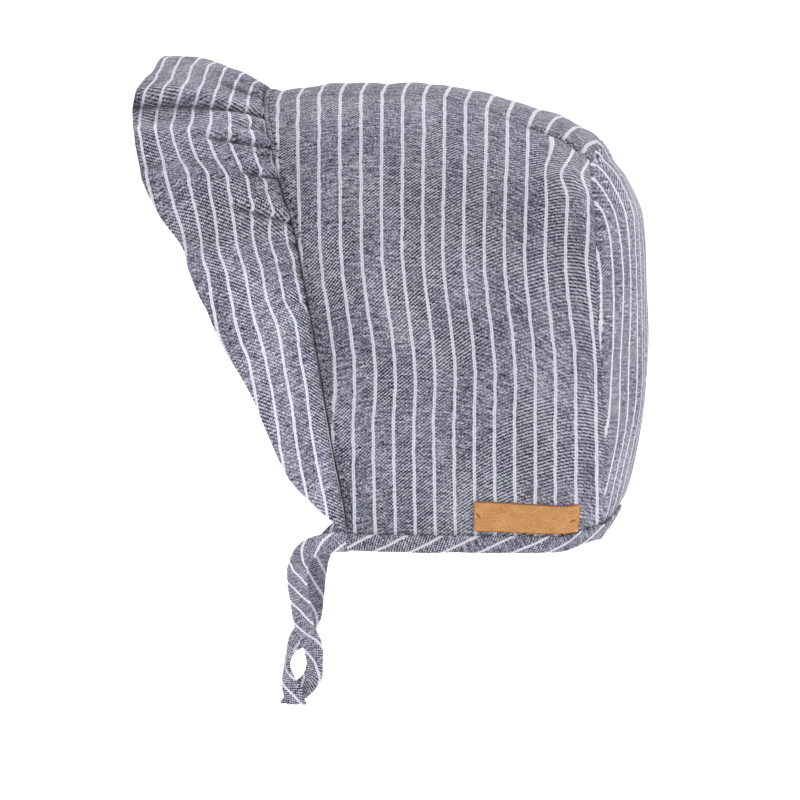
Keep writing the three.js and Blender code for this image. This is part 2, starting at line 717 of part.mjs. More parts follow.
function add(name, geometry, material) {
  const mesh = new THREE.Mesh(geometry, material.clone());
  mesh.name = name;
  bonnet.add(mesh);
}

add('crown_panel', crownPanel(), cloth);
add('back_panel', backPanel(), cloth);
add('brim', brim(), cloth);
add('neck_binding', neckBinding(), tape);
add('tie_left', tie(TIE_LEFT_ROUTE, -1), tape);
add('tie_right', tie(TIE_RIGHT_ROUTE, 1), tape);
add('leather_label', leatherLabel(), leather);

export default bonnet;
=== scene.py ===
"""Baby sun bonnet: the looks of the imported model, in metres."""
import math
import bmesh
import bpy
import numpy as np
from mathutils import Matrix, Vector


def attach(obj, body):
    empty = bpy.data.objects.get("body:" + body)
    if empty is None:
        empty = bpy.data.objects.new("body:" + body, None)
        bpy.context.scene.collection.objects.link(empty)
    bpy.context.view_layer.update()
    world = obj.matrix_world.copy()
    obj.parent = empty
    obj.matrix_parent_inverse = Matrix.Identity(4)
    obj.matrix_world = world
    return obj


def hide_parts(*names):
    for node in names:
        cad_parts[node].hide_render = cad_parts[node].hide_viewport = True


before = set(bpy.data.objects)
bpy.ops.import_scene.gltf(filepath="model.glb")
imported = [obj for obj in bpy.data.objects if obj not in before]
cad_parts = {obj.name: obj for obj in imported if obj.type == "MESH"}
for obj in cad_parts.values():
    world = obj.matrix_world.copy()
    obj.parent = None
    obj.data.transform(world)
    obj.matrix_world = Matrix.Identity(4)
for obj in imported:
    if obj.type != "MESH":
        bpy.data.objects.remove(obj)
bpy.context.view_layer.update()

# Sizes and tables of the part's source, in millimetres and in shares
MM = 0.001
CLOTH_WALL, SEAM_GAP = 1.4, 0.3
CROWN_LENGTH, CROWN_FRONT, CROWN_HEIGHT, CROWN_BREADTH = 119.5, 65.4, 162.0, 124.0
CROWN_FALL, FRONT_LEAN, BACK_LEAN = 20.2, 34.5, 4.2
WIDEST_DOWN, WIDEST_TURN = 0.4, 0.5
NAPE_RISE, NAPE_CROWN_SHARE, NAPE_CROWN_START, NAPE_BACK_START = 7.0, 0.5, 0.84, 0.5
BACK_BULGE, BACK_ROUNDING = 14.8, 2.2
BRIM_WIDTH, FOLD_DEPTH, FOLD_LEAD, FOLD_GROWTH, BRIM_BOW, BOW_FADE = 44.0, 7.0, 0.5, 0.8, 0.08, 0.25
TUCK_DEPTH, TUCK_WIDTH, TUCK_LINE = 1.1, 0.035, 0.12
TUCK_FRONT_END, TUCK_FRONT_SHARE, TUCK_BACK_START, TUCK_BACK_REACH = 0.25, 0.35, 0.6, 0.3
DART_START, DART_FALL = 0.45, 0.037
BINDING_WALL, BINDING_HEIGHT = 1.0, 6.4
TIE_WIDTH, TIE_THICKNESS, TIE_DROP, TIE_FORWARD = 7.2, 1.8, 63.7, 23.0
TIE_PASS, TIE_SQUARE = 1.5, 0.1
LABEL_LENGTH, LABEL_HEIGHT, LABEL_THICKNESS, LABEL_CORNER = 35.7, 10.4, 1.2, 1.6
LABEL_ALONG, LABEL_TILT, LABEL_SPAN = 0.705, 0.028, 0.05
STEP = 0.004

# Outline of the crown's top: (along, fall)
TOP_OUTLINE = [(0, 0.08), (0.05, 0.13), (0.12, 0.07), (0.22, 0), (0.42, 0.01), (0.56, 0.08),
               (0.66, 0.2), (0.78, 0.42), (0.89, 0.63), (1, 1)]
# Front and back seams: (down, lean)
FRONT_SEAM = [(0, 0), (0.055, 0.065), (0.13, 0.185), (0.22, 0.33), (0.34, 0.51), (0.44, 0.6),
              (0.59, 0.72), (0.77, 0.85), (0.94, 0.98), (1, 1)]
BACK_SEAM = [(0, 0), (0.07, -0.5), (0.2, 0.05), (0.4, 0.3), (0.8, 0.92), (0.93, 0.75), (1, 0.2)]
# Half breadths: (along, widest, neck)
BREADTHS = [(0, 0.93, 0.79), (0.2, 0.985, 0.84), (0.45, 1, 0.86), (0.7, 0.975, 0.83),
            (0.85, 0.92, 0.76), (0.94, 0.86, 0.68), (1, 0.79, 0.55)]
# Back panel's profile: (down, bulge)
BACK_PROFILE = [(0, 0), (0.04, 0.38), (0.1, 0.76), (0.2, 0.97), (0.37, 1), (0.65, 0.82),
                (0.88, 0.45), (0.95, 0.25), (1, 0.13)]
# Brim: (round, forward, rise, flare)
BRIM_REACH = [(0, 0.86, 0.24, 0), (0.1, 0.88, 0.17, 0.22), (0.2, 0.985, 0.07, 0.46),
              (0.29, 1, 0.06, 0.52), (0.36, 1.01, 0.05, 0.5), (0.42, 0.95, 0, 0.47),
              (0.47, 0.8, -0.08, 0.46), (0.52, 0.78, -0.1, 0.43), (0.6, 0.68, -0.13, 0.38),
              (0.7, 0.54, -0.12, 0.29), (0.78, 0.44, -0.15, 0.22), (0.86, 0.35, -0.15, 0.15),
              (0.93, 0.2, -0.1, 0.07), (1, 0.035, 0, 0)]
# Brim folds: (round, out, spread, start). The one at 0.222 is about 1 mm softer than in the
# part's source, where it would hide itself from the camera
BRIM_FOLDS = [(0.055, 0.15, 0.05, 0.2), (0.165, 0.5, 0.035, 0.05), (0.222, -0.6, 0.044, 0),
              (0.275, 0.25, 0.03, 0.3), (0.325, -0.32, 0.018, 0), (0.37, 0.3, 0.025, 0.1),
              (0.44, -0.45, 0.02, 0), (0.485, 0.25, 0.025, 0.1), (0.56, -0.22, 0.022, 0.2),
              (0.63, 0.18, 0.03, 0.3), (0.72, -0.12, 0.03, 0.3)]
# Ties: (forward, inward, down, turn, roll, side)
TIE_LEFT_ROUTE = [
    (0, 0, 0, 0, 0, 0), (0.34, 0.09, 0.017, 0.1, 0, 0), (0.69, 0.24, 0.072, 0.5, 0, 0),
    (0.865, 0.4, 0.169, 0.85, 0, 0), (0.925, 0.58, 0.28, 1, 0, 0), (0.93, 0.77, 0.405, 1, 0, 0.2),
    (0.93, 0.92, 0.512, 1, 0, 0.7), (0.88, 1, 0.595, 1, 0, 1), (0.79, 1, 0.675, 1, 0.3, 0.8),
    (0.77, 1, 0.765, 1, 0.5, 0), (0.82, 1, 0.85, 1, 0.2, -0.7), (1, 1, 0.925, 1, 0, -1),
    (1.2, 1, 1, 1, 0, -1)]
TIE_RIGHT_ROUTE = [
    (0, 0, 0, 0, 0, 0), (0.33, 0.09, 0.017, 0.1, 0, 0), (0.66, 0.23, 0.08, 0.5, 0, 0),
    (0.83, 0.39, 0.185, 0.85, 0, 0), (0.86, 0.57, 0.304, 1, 0, 0), (0.85, 0.76, 0.425, 1, 0, 0.2),
    (0.86, 0.92, 0.521, 1, 0, 0.7), (0.97, 1, 0.597, 1, 0, 1), (1.14, 1, 0.68, 1, 0.6, 0.8),
    (1.21, 1, 0.77, 1, 0.85, 0), (1.19, 1, 0.85, 1, 0.55, -0.7), (1.12, 1, 0.925, 1, 0.1, -1),
    (1.05, 1, 1, 1, 0, -1)]


def table_curve(rows, column):
    """Smooth curve through one column of a table, keyed by its first, without overshoot."""
    x = np.array([r[0] for r in rows], float)
    y = np.array([r[column] for r in rows], float)
    slope = np.diff(y) / np.diff(x)
    before = np.concatenate([slope[:1], slope])
    after = np.concatenate([slope, slope[-1:]])
    flat = before * after <= 0
    total = np.where(flat, 1, before + after)
    tangent = np.where(flat, 0, 2 * before * after / total)

    def at(place):
        p = np.clip(np.asarray(place, float), x[0], x[-1])
        i = np.clip(np.searchsorted(x, p, side="left") - 1, 0, len(x) - 2)
        h = x[i + 1] - x[i]
        t = (p - x[i]) / h
        return (y[i] * (1 + 2 * t) * (1 - t) ** 2 + y[i + 1] * t * t * (3 - 2 * t)
                + h * (tangent[i] * t * (1 - t) ** 2 - tangent[i + 1] * t * t * (1 - t)))
    return at


top_fall = table_curve(TOP_OUTLINE, 1)
front_lean = table_curve(FRONT_SEAM, 1)
back_lean = table_curve(BACK_SEAM, 1)
widest_share = table_curve(BREADTHS, 1)
neck_share = table_curve(BREADTHS, 2)
back_bulge = table_curve(BACK_PROFILE, 1)
brim_forward = table_curve(BRIM_REACH, 1)
brim_rise = table_curve(BRIM_REACH, 2)
brim_flare = table_curve(BRIM_REACH, 3)


def bell(x, width):
    """Bell curve: 1 at nought, falling away over the width."""
    return np.exp(-(x / width) ** 2)


def smooth(value):
    share = np.clip(value, 0, 1)
    return share * share * (3 - 2 * share)


def unit(v):
    return v / np.maximum(np.linalg.norm(v, axis=-1, keepdims=True), 1e-12)


def surface_normal(surface, a, b, low_a, high_a, low_b, high_b):
    a, b = np.broadcast_arrays(np.asarray(a, float), np.asarray(b, float))
    along_a = surface(np.minimum(a + STEP, high_a), b) - surface(np.maximum(a - STEP, low_a), b)
    along_b = surface(a, np.minimum(b + STEP, high_b)) - surface(a, np.maximum(b - STEP, low_b))
    return unit(np.cross(along_a, along_b))


SEAT_HEIGHT = CLOTH_WALL / 2 + CROWN_FALL * float(top_fall(CROWN_FRONT / CROWN_LENGTH))


def crown_base(along, turn):
    """The crown's middle surface: along from the front seam (0) to the back one (1), turn from
    the left neck edge (-1) over the top (0) to the right one (1)."""
    along, turn = np.broadcast_arrays(np.asarray(along, float), np.asarray(turn, float))
    side = np.abs(turn)
    top = SEAT_HEIGHT - CROWN_FALL * top_fall(along)
    nape = smooth((along - NAPE_CROWN_START) / (1 - NAPE_CROWN_START))
    bottom = SEAT_HEIGHT - CROWN_HEIGHT + NAPE_CROWN_SHARE * NAPE_RISE * nape
    widest = CROWN_BREADTH / 2 * widest_share(along)
    neck = CROWN_BREADTH / 2 * neck_share(along)
    angle = np.minimum(side / WIDEST_TURN, 1) * np.pi / 2
    low = np.clip((side - WIDEST_TURN) / (1 - WIDEST_TURN), 0, 1)
    upper = side < WIDEST_TURN
    across = np.where(upper, widest * np.sin(angle), widest - (widest - neck) * low * low)
    down = np.where(upper, WIDEST_DOWN * (1 - np.cos(angle)), WIDEST_DOWN + (1 - WIDEST_DOWN) * low)
    front = FRONT_LEAN * front_lean(down) - CROWN_FRONT
    back = CROWN_LENGTH - CROWN_FRONT + BACK_LEAN * back_lean(down)
    return np.stack([front + (back - front) * along, np.sign(turn) * across,
                     top + (bottom - top) * down], -1)


def crown_base_normal(along, turn):
    return surface_normal(crown_base, along, turn, 0, 1, -1, 1)


def tuck_line(along):
    return TUCK_LINE + DART_FALL * smooth((along - DART_START) / (1 - DART_START))


def tuck_depth(along, turn):
    away = (np.abs(turn) - tuck_line(along)) / TUCK_WIDTH
    deepening = (1 - TUCK_FRONT_SHARE) * smooth((along - TUCK_BACK_START) / TUCK_BACK_REACH)
    reach = smooth(along / TUCK_FRONT_END) * (TUCK_FRONT_SHARE + deepening)
    return TUCK_DEPTH * reach * np.exp(-away * away)


def crown_point(along, turn):
    along, turn = np.broadcast_arrays(np.asarray(along, float), np.asarray(turn, float))
    inward = crown_base_normal(along, turn) * tuck_depth(along, turn)[..., None]
    return crown_base(along, turn) - inward


def crown_normal(along, turn):
    return surface_normal(crown_point, along, turn, 0, 1, -1, 1)


def back_point(across, down):
    """The back panel's middle surface: across from the left seam (-1) to the right one (1)."""
    across, down = np.broadcast_arrays(np.asarray(across, float), np.asarray(down, float))
    seam = crown_point(np.ones_like(down), down)
    fall = (SEAT_HEIGHT - CROWN_FALL - seam[..., 2]) / (CROWN_HEIGHT - CROWN_FALL)
    bulge = BACK_BULGE * back_bulge(fall) * (1 - np.abs(across) ** BACK_ROUNDING)
    nape = smooth((fall - NAPE_BACK_START) / (1 - NAPE_BACK_START))
    rise = (1 - NAPE_CROWN_SHARE) * NAPE_RISE * nape * (1 - across * across)
    return np.stack([seam[..., 0] + bulge, seam[..., 1] * across, seam[..., 2] + rise], -1)


def back_normal(across, down):
    return -surface_normal(back_point, across, np.maximum(down, 0.04), -1, 1, 0.02, 1)


BINDING_BELOW = SEAM_GAP + BINDING_WALL
BRIM_END = 1 - ((BINDING_HEIGHT - BINDING_BELOW + 2 * SEAM_GAP)
                / (CROWN_HEIGHT * (1 - WIDEST_DOWN))) * (1 - WIDEST_TURN)


def fold_height(turn, out):
    height = np.zeros(np.broadcast(turn, out).shape)
    for place, stand, spread, first in BRIM_FOLDS:
        away = (np.abs(turn) - place) / spread
        start = FOLD_LEAD * first
        grown = smooth((out - start) / (1 - start)) ** FOLD_GROWTH
        height = height + FOLD_DEPTH * stand * grown * np.exp(-away * away)
    return height


def brim_base(turn, out):
    turn, out = np.broadcast_arrays(np.asarray(turn, float), np.asarray(out, float))
    point = crown_point(np.zeros_like(turn), turn * BRIM_END)
    side = np.abs(turn)
    bow = BRIM_WIDTH * BRIM_BOW * (1 - side) * smooth((1 - side) / BOW_FADE) * np.sin(np.pi * out)
    outward = crown_base_normal(np.zeros_like(turn), turn * BRIM_END)
    reach = np.stack([-brim_forward(side), np.sign(turn) * brim_flare(side), brim_rise(side)], -1)
    return point + BRIM_WIDTH * reach * out[..., None] + outward * bow[..., None]


def brim_point(turn, out):
    turn, out = np.broadcast_arrays(np.asarray(turn, float), np.asarray(out, float))
    outward = crown_base_normal(np.zeros_like(turn), turn * BRIM_END)
    return brim_base(turn, out) + outward * fold_height(turn, out)[..., None]


def brim_normal(turn, out):
    return surface_normal(brim_point, turn, out, -1, 1, 0, 1)


# Looks: thread pitch, stripes and colours
STRIPE_PITCH = 7.5
CLOTH_INNER = 0.3
CLOTH_OUTER = CLOTH_WALL / 2 - 0.35
# Cloth of the tapes, cut on the bias: shares of the way along and round the tape
BIAS_ACROSS, BIAS_DOWN = (-0.63, 1.18), (0.88, 0.47)
# Painted light: the ties' colour made lighter all over, as if light came through the tape
TIE_PAINTED_LIGHT = -0.18
# Cloth from the crown's top to its neck edge, about, in millimetres
CROWN_HALF_ROUND = 205
STITCH_PITCH, STITCH_COLUMN = 3.1, 9
ROOT_LAP = 1.0
SHEET_DARK, SHEET_MID, SHEET_LIGHT = (34, 35, 50), (122, 122, 139), (208, 208, 221)
STRIPE_WHITE = (230, 229, 240)

# Photo's camera: turned and raised in degrees, distance and target in millimetres
CAMERA_TURN, CAMERA_RISE, CAMERA_DISTANCE, PIXEL = 6.0, 3.0, 1300.0, 0.36
CAMERA_TARGET = np.array([-18.0, 0.0, -111.2])
turned_by, raised_by = math.radians(CAMERA_TURN), math.radians(CAMERA_RISE)
TO_CAMERA = np.array([math.sin(turned_by) * math.cos(raised_by),
                      -math.cos(turned_by) * math.cos(raised_by), math.sin(raised_by)])
TO_RIGHT = np.array([math.cos(turned_by), math.sin(turned_by), 0.0])
TO_TOP = np.cross(TO_CAMERA, TO_RIGHT)

# Crown stripes: height in the side view, place of the first one and their pitch, in pixels
CROWN_STRIPES = [(85, 298.5, 20.85), (125, 298.5, 20.85), (250, 300.8, 20.35), (380, 315.7, 19.95),
                 (430, 313.0, 20.15), (530, 315.7, 19.95), (560, 316.5, 19.9)]
# Brim stripes: turn, then how far each stripe lies from the seam, in millimetres
BRIM_STRIPES = [
    (0, 4.8, 10.3, 16, 21.7, 27, 32.6, 37.8), (0.13, 5.6, 11.4, 17.1, 22.7, 28.1, 33.7, 39.2),
    (0.185, 6.8, 13.6, 19.6, 25.7, 32, 38.4, 44.5), (0.235, 6.6, 14.5, 21.5, 28.5, 35.5, 41.4, 47),
    (0.275, 6.6, 16.2, 24.0, 30.8, 36.8, 42.2, 48), (0.315, 7.2, 15.0, 22.8, 29.8, 35.6, 41.7, 48),
    (0.358, 6.0, 12.3, 19.8, 26.6, 33.6, 41.6, 48), (0.405, 6.4, 13.5, 20.7, 27.3, 33.8, 41.0, 48),
    (0.455, 10.0, 16.3, 22.7, 29.6, 35.3, 41.0, 47), (0.505, 9.2, 15.5, 21.6, 28.0, 34.2, 41, 47),
    (0.555, 9.2, 15.5, 21.8, 28.4, 35.3, 42, 48), (0.61, 6.3, 13.1, 20.2, 27.2, 34, 41, 48),
    (0.66, 6.7, 13.1, 19.4, 25.2, 31.3, 38, 44), (0.72, 6.2, 13.0, 19.1, 25.1, 31, 37, 43),
    (0.77, 6.9, 12.9, 19.0, 25, 31, 37, 43), (1, 6.5, 12.6, 19, 25, 31, 37, 43)]
# Creases of the brim: turn at the seam, at their end, how far out, depth, lip and width
BRIM_CREASES = [
    (0.062, 0.058, 0.35, 0.7, 0.6, 0.010), (0.118, 0.110, 0.5, 0.9, 0.8, 0.010),
    (0.184, 0.188, 1.0, 2.0, 1.7, 0.012), (0.236, 0.225, 0.35, 1.0, 0.8, 0.010),
    (0.272, 0.272, 0.62, 1.9, 2.0, 0.009), (0.301, 0.288, 0.2, 1.0, 0.9, 0.007),
    (0.342, 0.334, 0.36, 1.7, 1.6, 0.008), (0.378, 0.370, 0.2, 0.7, 0.6, 0.008),
    (0.426, 0.396, 0.5, 1.7, 1.7, 0.009), (0.468, 0.455, 0.2, 0.6, 0.5, 0.008),
    (0.515, 0.492, 0.3, 0.8, 0.6, 0.008), (0.575, 0.556, 0.32, 0.7, 0.5, 0.009),
    (0.650, 0.640, 0.3, 0.4, 0.3, 0.009)]


def in_photo(points):
    """Where points of the row frame, in millimetres, lie in the side view, in pixels."""
    offset = points - CAMERA_TARGET
    scale = CAMERA_DISTANCE / (CAMERA_DISTANCE - offset @ TO_CAMERA)
    return 400 + scale * (offset @ TO_RIGHT) / PIXEL, 400 - scale * (offset @ TO_TOP) / PIXEL


def ripples(u, v, long_u, long_v, seed, count=7):
    """Smooth seeded waves of about unit height, with given lengths along u and v."""
    rng = np.random.default_rng(seed)
    total = np.zeros(np.broadcast(u, v).shape)
    for _ in range(count):
        a, b = rng.normal(0, 1, 2)
        total = total + np.sin(2 * np.pi * (a * u / long_u + b * v / long_v) + rng.uniform(0, 7))
    return total / math.sqrt(count / 2)


def grid_normals(points, flip=1.0):
    along_a = np.gradient(points, axis=0)
    along_b = np.gradient(points, axis=1)
    return flip * unit(np.cross(along_a, along_b))


def mesh_object(name, points, faces, uvs, material, shade=None):
    """Mesh from points in millimetres, faces of point numbers and a uv for each point, in mm.
    shade is painted shade where above nought, darkening the colour in seams, creases, pits and on
    the cloth's top, and painted light where below nought, as if light came through the cloth."""
    mesh = bpy.data.meshes.new(name)
    mesh.from_pydata((np.asarray(points) * MM).tolist(), [], faces)
    layer = mesh.uv_layers.new(name="cloth")
    loops = np.zeros(len(mesh.loops), np.int32)
    mesh.loops.foreach_get("vertex_index", loops)
    layer.data.foreach_set("uv", (np.asarray(uvs)[loops] * 0.01).astype(np.float32).ravel())
    mesh.polygons.foreach_set("use_smooth", [True] * len(mesh.polygons))
    # depth is the painted shade, below nought painted light; the colour attribute is one less it
    depth = np.zeros(len(points)) if shade is None else np.clip(shade, -0.3, 0.9)
    colours = mesh.color_attributes.new("shade", "FLOAT_COLOR", "POINT")
    values = np.stack([1 - depth] * 3 + [np.ones(len(points))], -1)
    colours.data.foreach_set("color", values.astype(np.float32).ravel())
    mesh.materials.append(material)
    mesh.update()
    obj = bpy.data.objects.new(name, mesh)
    bpy.context.scene.collection.objects.link(obj)
    return obj


def cloth_shell(name, middle, normals, uv, outer, inner, material, shade):
    """Closed sheet round a grid of middle points, with a rounded edge all round."""
    rows, columns = middle.shape[:2]
    number = np.arange(rows * columns).reshape(rows, columns)
    points = np.concatenate([(middle + normals * outer).reshape(-1, 3),
                             (middle - normals * inner).reshape(-1, 3)])
    second = number + rows * columns
    a, b, c, d = number[:-1, :-1], number[1:, :-1], number[1:, 1:], number[:-1, 1:]
    front = np.stack([a, b, c, d], -1).reshape(-1, 4)
    a, b, c, d = second[:-1, :-1], second[:-1, 1:], second[1:, 1:], second[1:, :-1]
    back = np.stack([a, b, c, d], -1).reshape(-1, 4)
    ring = np.concatenate([number[0, :-1], number[:-1, -1], number[-1, :0:-1], number[:0:-1, 0]])
    following = np.roll(ring, -1)
    rim = np.stack([following, ring, ring + rows * columns, following + rows * columns], -1)
    rim = rim[:, ::-1]
    faces = np.concatenate([front, back, rim])
    uvs = np.concatenate([uv.reshape(-1, 2), uv.reshape(-1, 2)])
    shades = np.concatenate([shade.ravel(), shade.ravel()])
    return mesh_object(name, points, faces.tolist(), uvs, material, shades)


def lengths_along(points, axis):
    """Arc length along one axis of a grid of points, from its start."""
    step = np.linalg.norm(np.diff(points, axis=axis), axis=-1)
    zero = np.zeros_like(np.take(step, [0], axis=axis))
    return np.concatenate([zero, np.cumsum(step, axis=axis)], axis=axis)


def surface_area(points):
    """Area of a grid of points in millimetres, in square metres."""
    p = points * MM
    a = np.cross(p[1:, :-1] - p[:-1, :-1], p[:-1, 1:] - p[:-1, :-1])
    b = np.cross(p[:-1, 1:] - p[1:, 1:], p[1:, :-1] - p[1:, 1:])
    return float((np.linalg.norm(a, axis=-1) + np.linalg.norm(b, axis=-1)).sum() / 2)


# Materials
def linear(rgb):
    values = [c / 255 for c in rgb]
    return tuple(c / 12.92 if c <= 0.04045 else ((c + 0.055) / 1.055) ** 2.4 for c in values) + (1,)


class Tree:
    """Short way to write a material's nodes."""

    def __init__(self, name, roughness, specular, sheen=0.0):
        self.material = bpy.data.materials.new(name)
        self.material.use_nodes = True
        self.nodes, self.links = self.material.node_tree.nodes, self.material.node_tree.links
        self.shader = self.nodes["Principled BSDF"]
        self.shader.inputs["Roughness"].default_value = roughness
        self.shader.inputs["Specular IOR Level"].default_value = specular
        if sheen:
            self.shader.inputs["Sheen Weight"].default_value = sheen
            self.shader.inputs["Sheen Roughness"].default_value = 0.5
            self.shader.inputs["Sheen Tint"].default_value = (0.85, 0.86, 0.95, 1)

    def put(self, socket, value):
        if isinstance(value, bpy.types.NodeSocket):
            self.links.new(value, socket)
        else:
            socket.default_value = value

    def math(self, operation, a, b=0.0, c=0.0):
        node = self.nodes.new("ShaderNodeMath")
        node.operation = operation
        for socket, value in zip(node.inputs, (a, b, c)):
            self.put(socket, value)
        return node.outputs[0]

    def range(self, value, low, high, to_low=0.0, to_high=1.0):
        node = self.nodes.new("ShaderNodeMapRange")
        node.interpolation_type = "SMOOTHSTEP"
        for name, v in (("Value", value), ("From Min", low), ("From Max", high),
                        ("To Min", to_low), ("To Max", to_high)):
            self.put(node.inputs[name], v)
        return node.outputs["Result"]

    def vector(self, x, y, z=0.0):
        node = self.nodes.new("ShaderNodeCombineXYZ")
        for socket, value in zip(node.inputs, (x, y, z)):
            self.put(socket, value)
        return node.outputs[0]

    def noise(self, x, y, detail=2.0, rough=0.5, z=0.0):
        node = self.nodes.new("ShaderNodeTexNoise")
        self.put(node.inputs["Vector"], self.vector(x, y, z))
        node.inputs["Scale"].default_value = 1.0
        node.inputs["Detail"].default_value = detail
        node.inputs["Roughness"].default_value = rough
        return node.outputs["Fac"]

    def mix(self, share, a, b, blend="MIX"):
        node = self.nodes.new("ShaderNodeMix")
        node.data_type = "RGBA"
        node.blend_type = blend
        self.put(node.inputs["Factor"], share)
        self.put(node.inputs["A"], a)
        self.put(node.inputs["B"], b)
        return node.outputs["Result"]

    def ramp(self, value, stops):
        node = self.nodes.new("ShaderNodeValToRGB")
        self.put(node.inputs["Fac"], value)
        elements = node.color_ramp.elements
        while len(elements) < len(stops):
            elements.new(0.5)
        for element, (place, colour) in zip(elements, stops):
            element.position = place
            element.color = colour
        return node.outputs["Color"]

    def cloth_uv(self):
        node = self.nodes.new("ShaderNodeUVMap")
        node.uv_map = "cloth"
        parts = self.nodes.new("ShaderNodeSeparateXYZ")
        self.links.new(node.outputs[0], parts.inputs[0])
        return [self.math("MULTIPLY", parts.outputs[i], 100.0) for i in (0, 1)]

    def bump(self, height, strength, distance, normal=None):
        node = self.nodes.new("ShaderNodeBump")
        node.inputs["Strength"].default_value = strength
        node.inputs["Distance"].default_value = distance
        self.put(node.inputs["Height"], height)
        if normal is not None:
            self.put(node.inputs["Normal"], normal)
        return node.outputs[0]


def striped_cotton(name):
    t = Tree(name, 0.92, 0.18, sheen=0.10)
    u, v = t.cloth_uv()
    mul = lambda a, b: t.math("MULTIPLY", a, b)
    weft = t.noise(mul(u, 0.22), mul(v, 1.25), 3, 0.6)
    warp = t.noise(mul(u, 1.9), mul(v, 0.22), 3, 0.62, 7.0)
    grain = t.noise(mul(u, 1.25), mul(v, 1.25), 2, 0.7, 3.0)
    cloud = t.noise(mul(u, 0.05), mul(v, 0.035), 2, 0.5, 9.0)
    patch = t.range(t.noise(mul(u, 0.035), mul(v, 0.03), 2, 0.5, 23.0), 0.4, 0.62)
    across, down = mul(u, 4.0), mul(v, 5.2)
    hatch = t.math("SINE", t.math("SUBTRACT", across, down))
    cross = t.math("SINE", t.math("ADD", across, down))
    twill = t.math("MULTIPLY_ADD", cross, 0.5, hatch)
    total = t.math("MULTIPLY_ADD", weft, 0.34, mul(warp, 0.16))
    total = t.math("MULTIPLY_ADD", grain, 0.36, total)
    total = t.math("MULTIPLY_ADD", cloud, 0.10, total)
    total = t.math("MULTIPLY_ADD", mul(twill, t.range(patch, 0, 1, 0.3, 1.0)), 0.075, total)
    colour = t.ramp(total, [(0.39, linear(SHEET_DARK)), (0.48, linear(SHEET_MID)),
                            (0.585, linear(SHEET_LIGHT))])
    slub = t.range(t.noise(mul(u, 0.09), mul(v, 1.15), 2, 0.6, 11.0), 0.59, 0.70)
    colour = t.mix(mul(slub, 0.55), colour, linear((70, 71, 88)))
    wobble = t.math("MULTIPLY_ADD", t.noise(mul(u, 0.1), mul(v, 0.16), 2, 0.5, 13.0), 0.9, -0.45)
    place = t.math("DIVIDE", t.math("ADD", u, wobble), STRIPE_PITCH)
    part = t.math("FRACT", t.math("ADD", place, 0.5))
    nearest = t.math("ABSOLUTE", t.math("SUBTRACT", part, 0.5))
    away = mul(nearest, STRIPE_PITCH)
    thin = t.math("MULTIPLY_ADD", t.noise(mul(u, 0.3), mul(v, 1.1), 2, 0.6, 17.0), 0.5, 0.32)
    stripe = t.range(away, t.math("ADD", thin, 0.12), t.math("SUBTRACT", thin, 0.1))
    middle = t.range(away, 0.05, 0.24, 0.78, 1.0)
    threads = t.range(t.noise(mul(u, 0.8), mul(v, 1.9), 2, 0.6, 19.0), 0.3, 0.55, 0.6, 1.0)
    colour = t.mix(mul(mul(stripe, middle), threads), colour, linear(STRIPE_WHITE))
    # Painted shade and painted light: the shade colour attribute multiplies the cloth's colour
    depth = t.nodes.new("ShaderNodeVertexColor")
    depth.layer_name = "shade"
    colour = t.mix(1.0, colour, depth.outputs[0], "MULTIPLY")
    t.put(t.shader.inputs["Base Color"], colour)
    weave = mul(t.math("SINE", mul(u, 2 * math.pi / 0.8)),
                t.math("SINE", mul(v, 2 * math.pi / 0.8)))
    height = t.math("MULTIPLY_ADD", weave, 0.2, t.math("ADD", weft, mul(grain, 0.8)))
    height = t.math("MULTIPLY_ADD", stripe, 0.2, height)
    t.put(t.shader.inputs["Normal"], t.bump(height, 0.6, 0.0004))
    return t.material


def tan_leather():
    t = Tree("tan_leather", 0.58, 0.35)
    u, v = t.cloth_uv()
    mul = lambda a, b: t.math("MULTIPLY", a, b)
    grain = t.noise(mul(u, 2.2), mul(v, 2.2), 4, 0.7)
    cloud = t.noise(mul(u, 0.18), mul(v, 0.3), 3, 0.55, 4.0)
    fibre = t.noise(mul(u, 0.9), mul(v, 1.4), 3, 0.7, 8.0)
    total = t.math("ADD", mul(grain, 0.45), t.math("ADD", mul(cloud, 0.25), mul(fibre, 0.3)))
    colour = t.ramp(total, [(0.34, linear((150, 94, 40))), (0.47, linear((198, 141, 84))),
                            (0.56, linear((212, 158, 100))), (0.68, linear((240, 188, 134)))])
    pores = t.range(t.noise(mul(u, 3.6), mul(v, 3.6), 1, 0.5, 12.0), 0.66, 0.74)
    colour = t.mix(mul(pores, 0.6), colour, linear((128, 76, 26)))
    to_end = t.math("SUBTRACT", LABEL_LENGTH / 2, t.math("ABSOLUTE", u))
    to_side = t.math("SUBTRACT", LABEL_HEIGHT / 2, t.math("ABSOLUTE", v))
    edge = t.range(t.math("MINIMUM", to_end, to_side), 0.75, 0.1, 0.0, 0.75)
    colour = t.mix(edge, colour, linear((150, 96, 46)))
    t.put(t.shader.inputs["Base Color"], colour)
    t.put(t.shader.inputs["Roughness"], t.range(cloud, 0.3, 0.7, 0.5, 0.66))
    relief = t.math("SUBTRACT", total, mul(pores, 0.3))
    t.put(t.shader.inputs["Normal"], t.bump(relief, 0.5, 0.0005))
    return t.material


def sewing_thread(name, colour):
    t = Tree(name, 0.8, 0.2, sheen=0.1)
    u, v = t.cloth_uv()
    twist = t.math("SINE", t.math("MULTIPLY", t.math("ADD", u, t.math("MULTIPLY", v, 1.7)), 14.0))
    light = linear(tuple(min(255, c * 1.3) for c in colour))
    colours = t.mix(t.range(twist, -1, 1, 0.0, 0.5), linear(colour), light)
    t.put(t.shader.inputs["Base Color"], colours)
    t.put(t.shader.inputs["Normal"], t.bump(twist, 0.5, 0.0002))
    return t.material


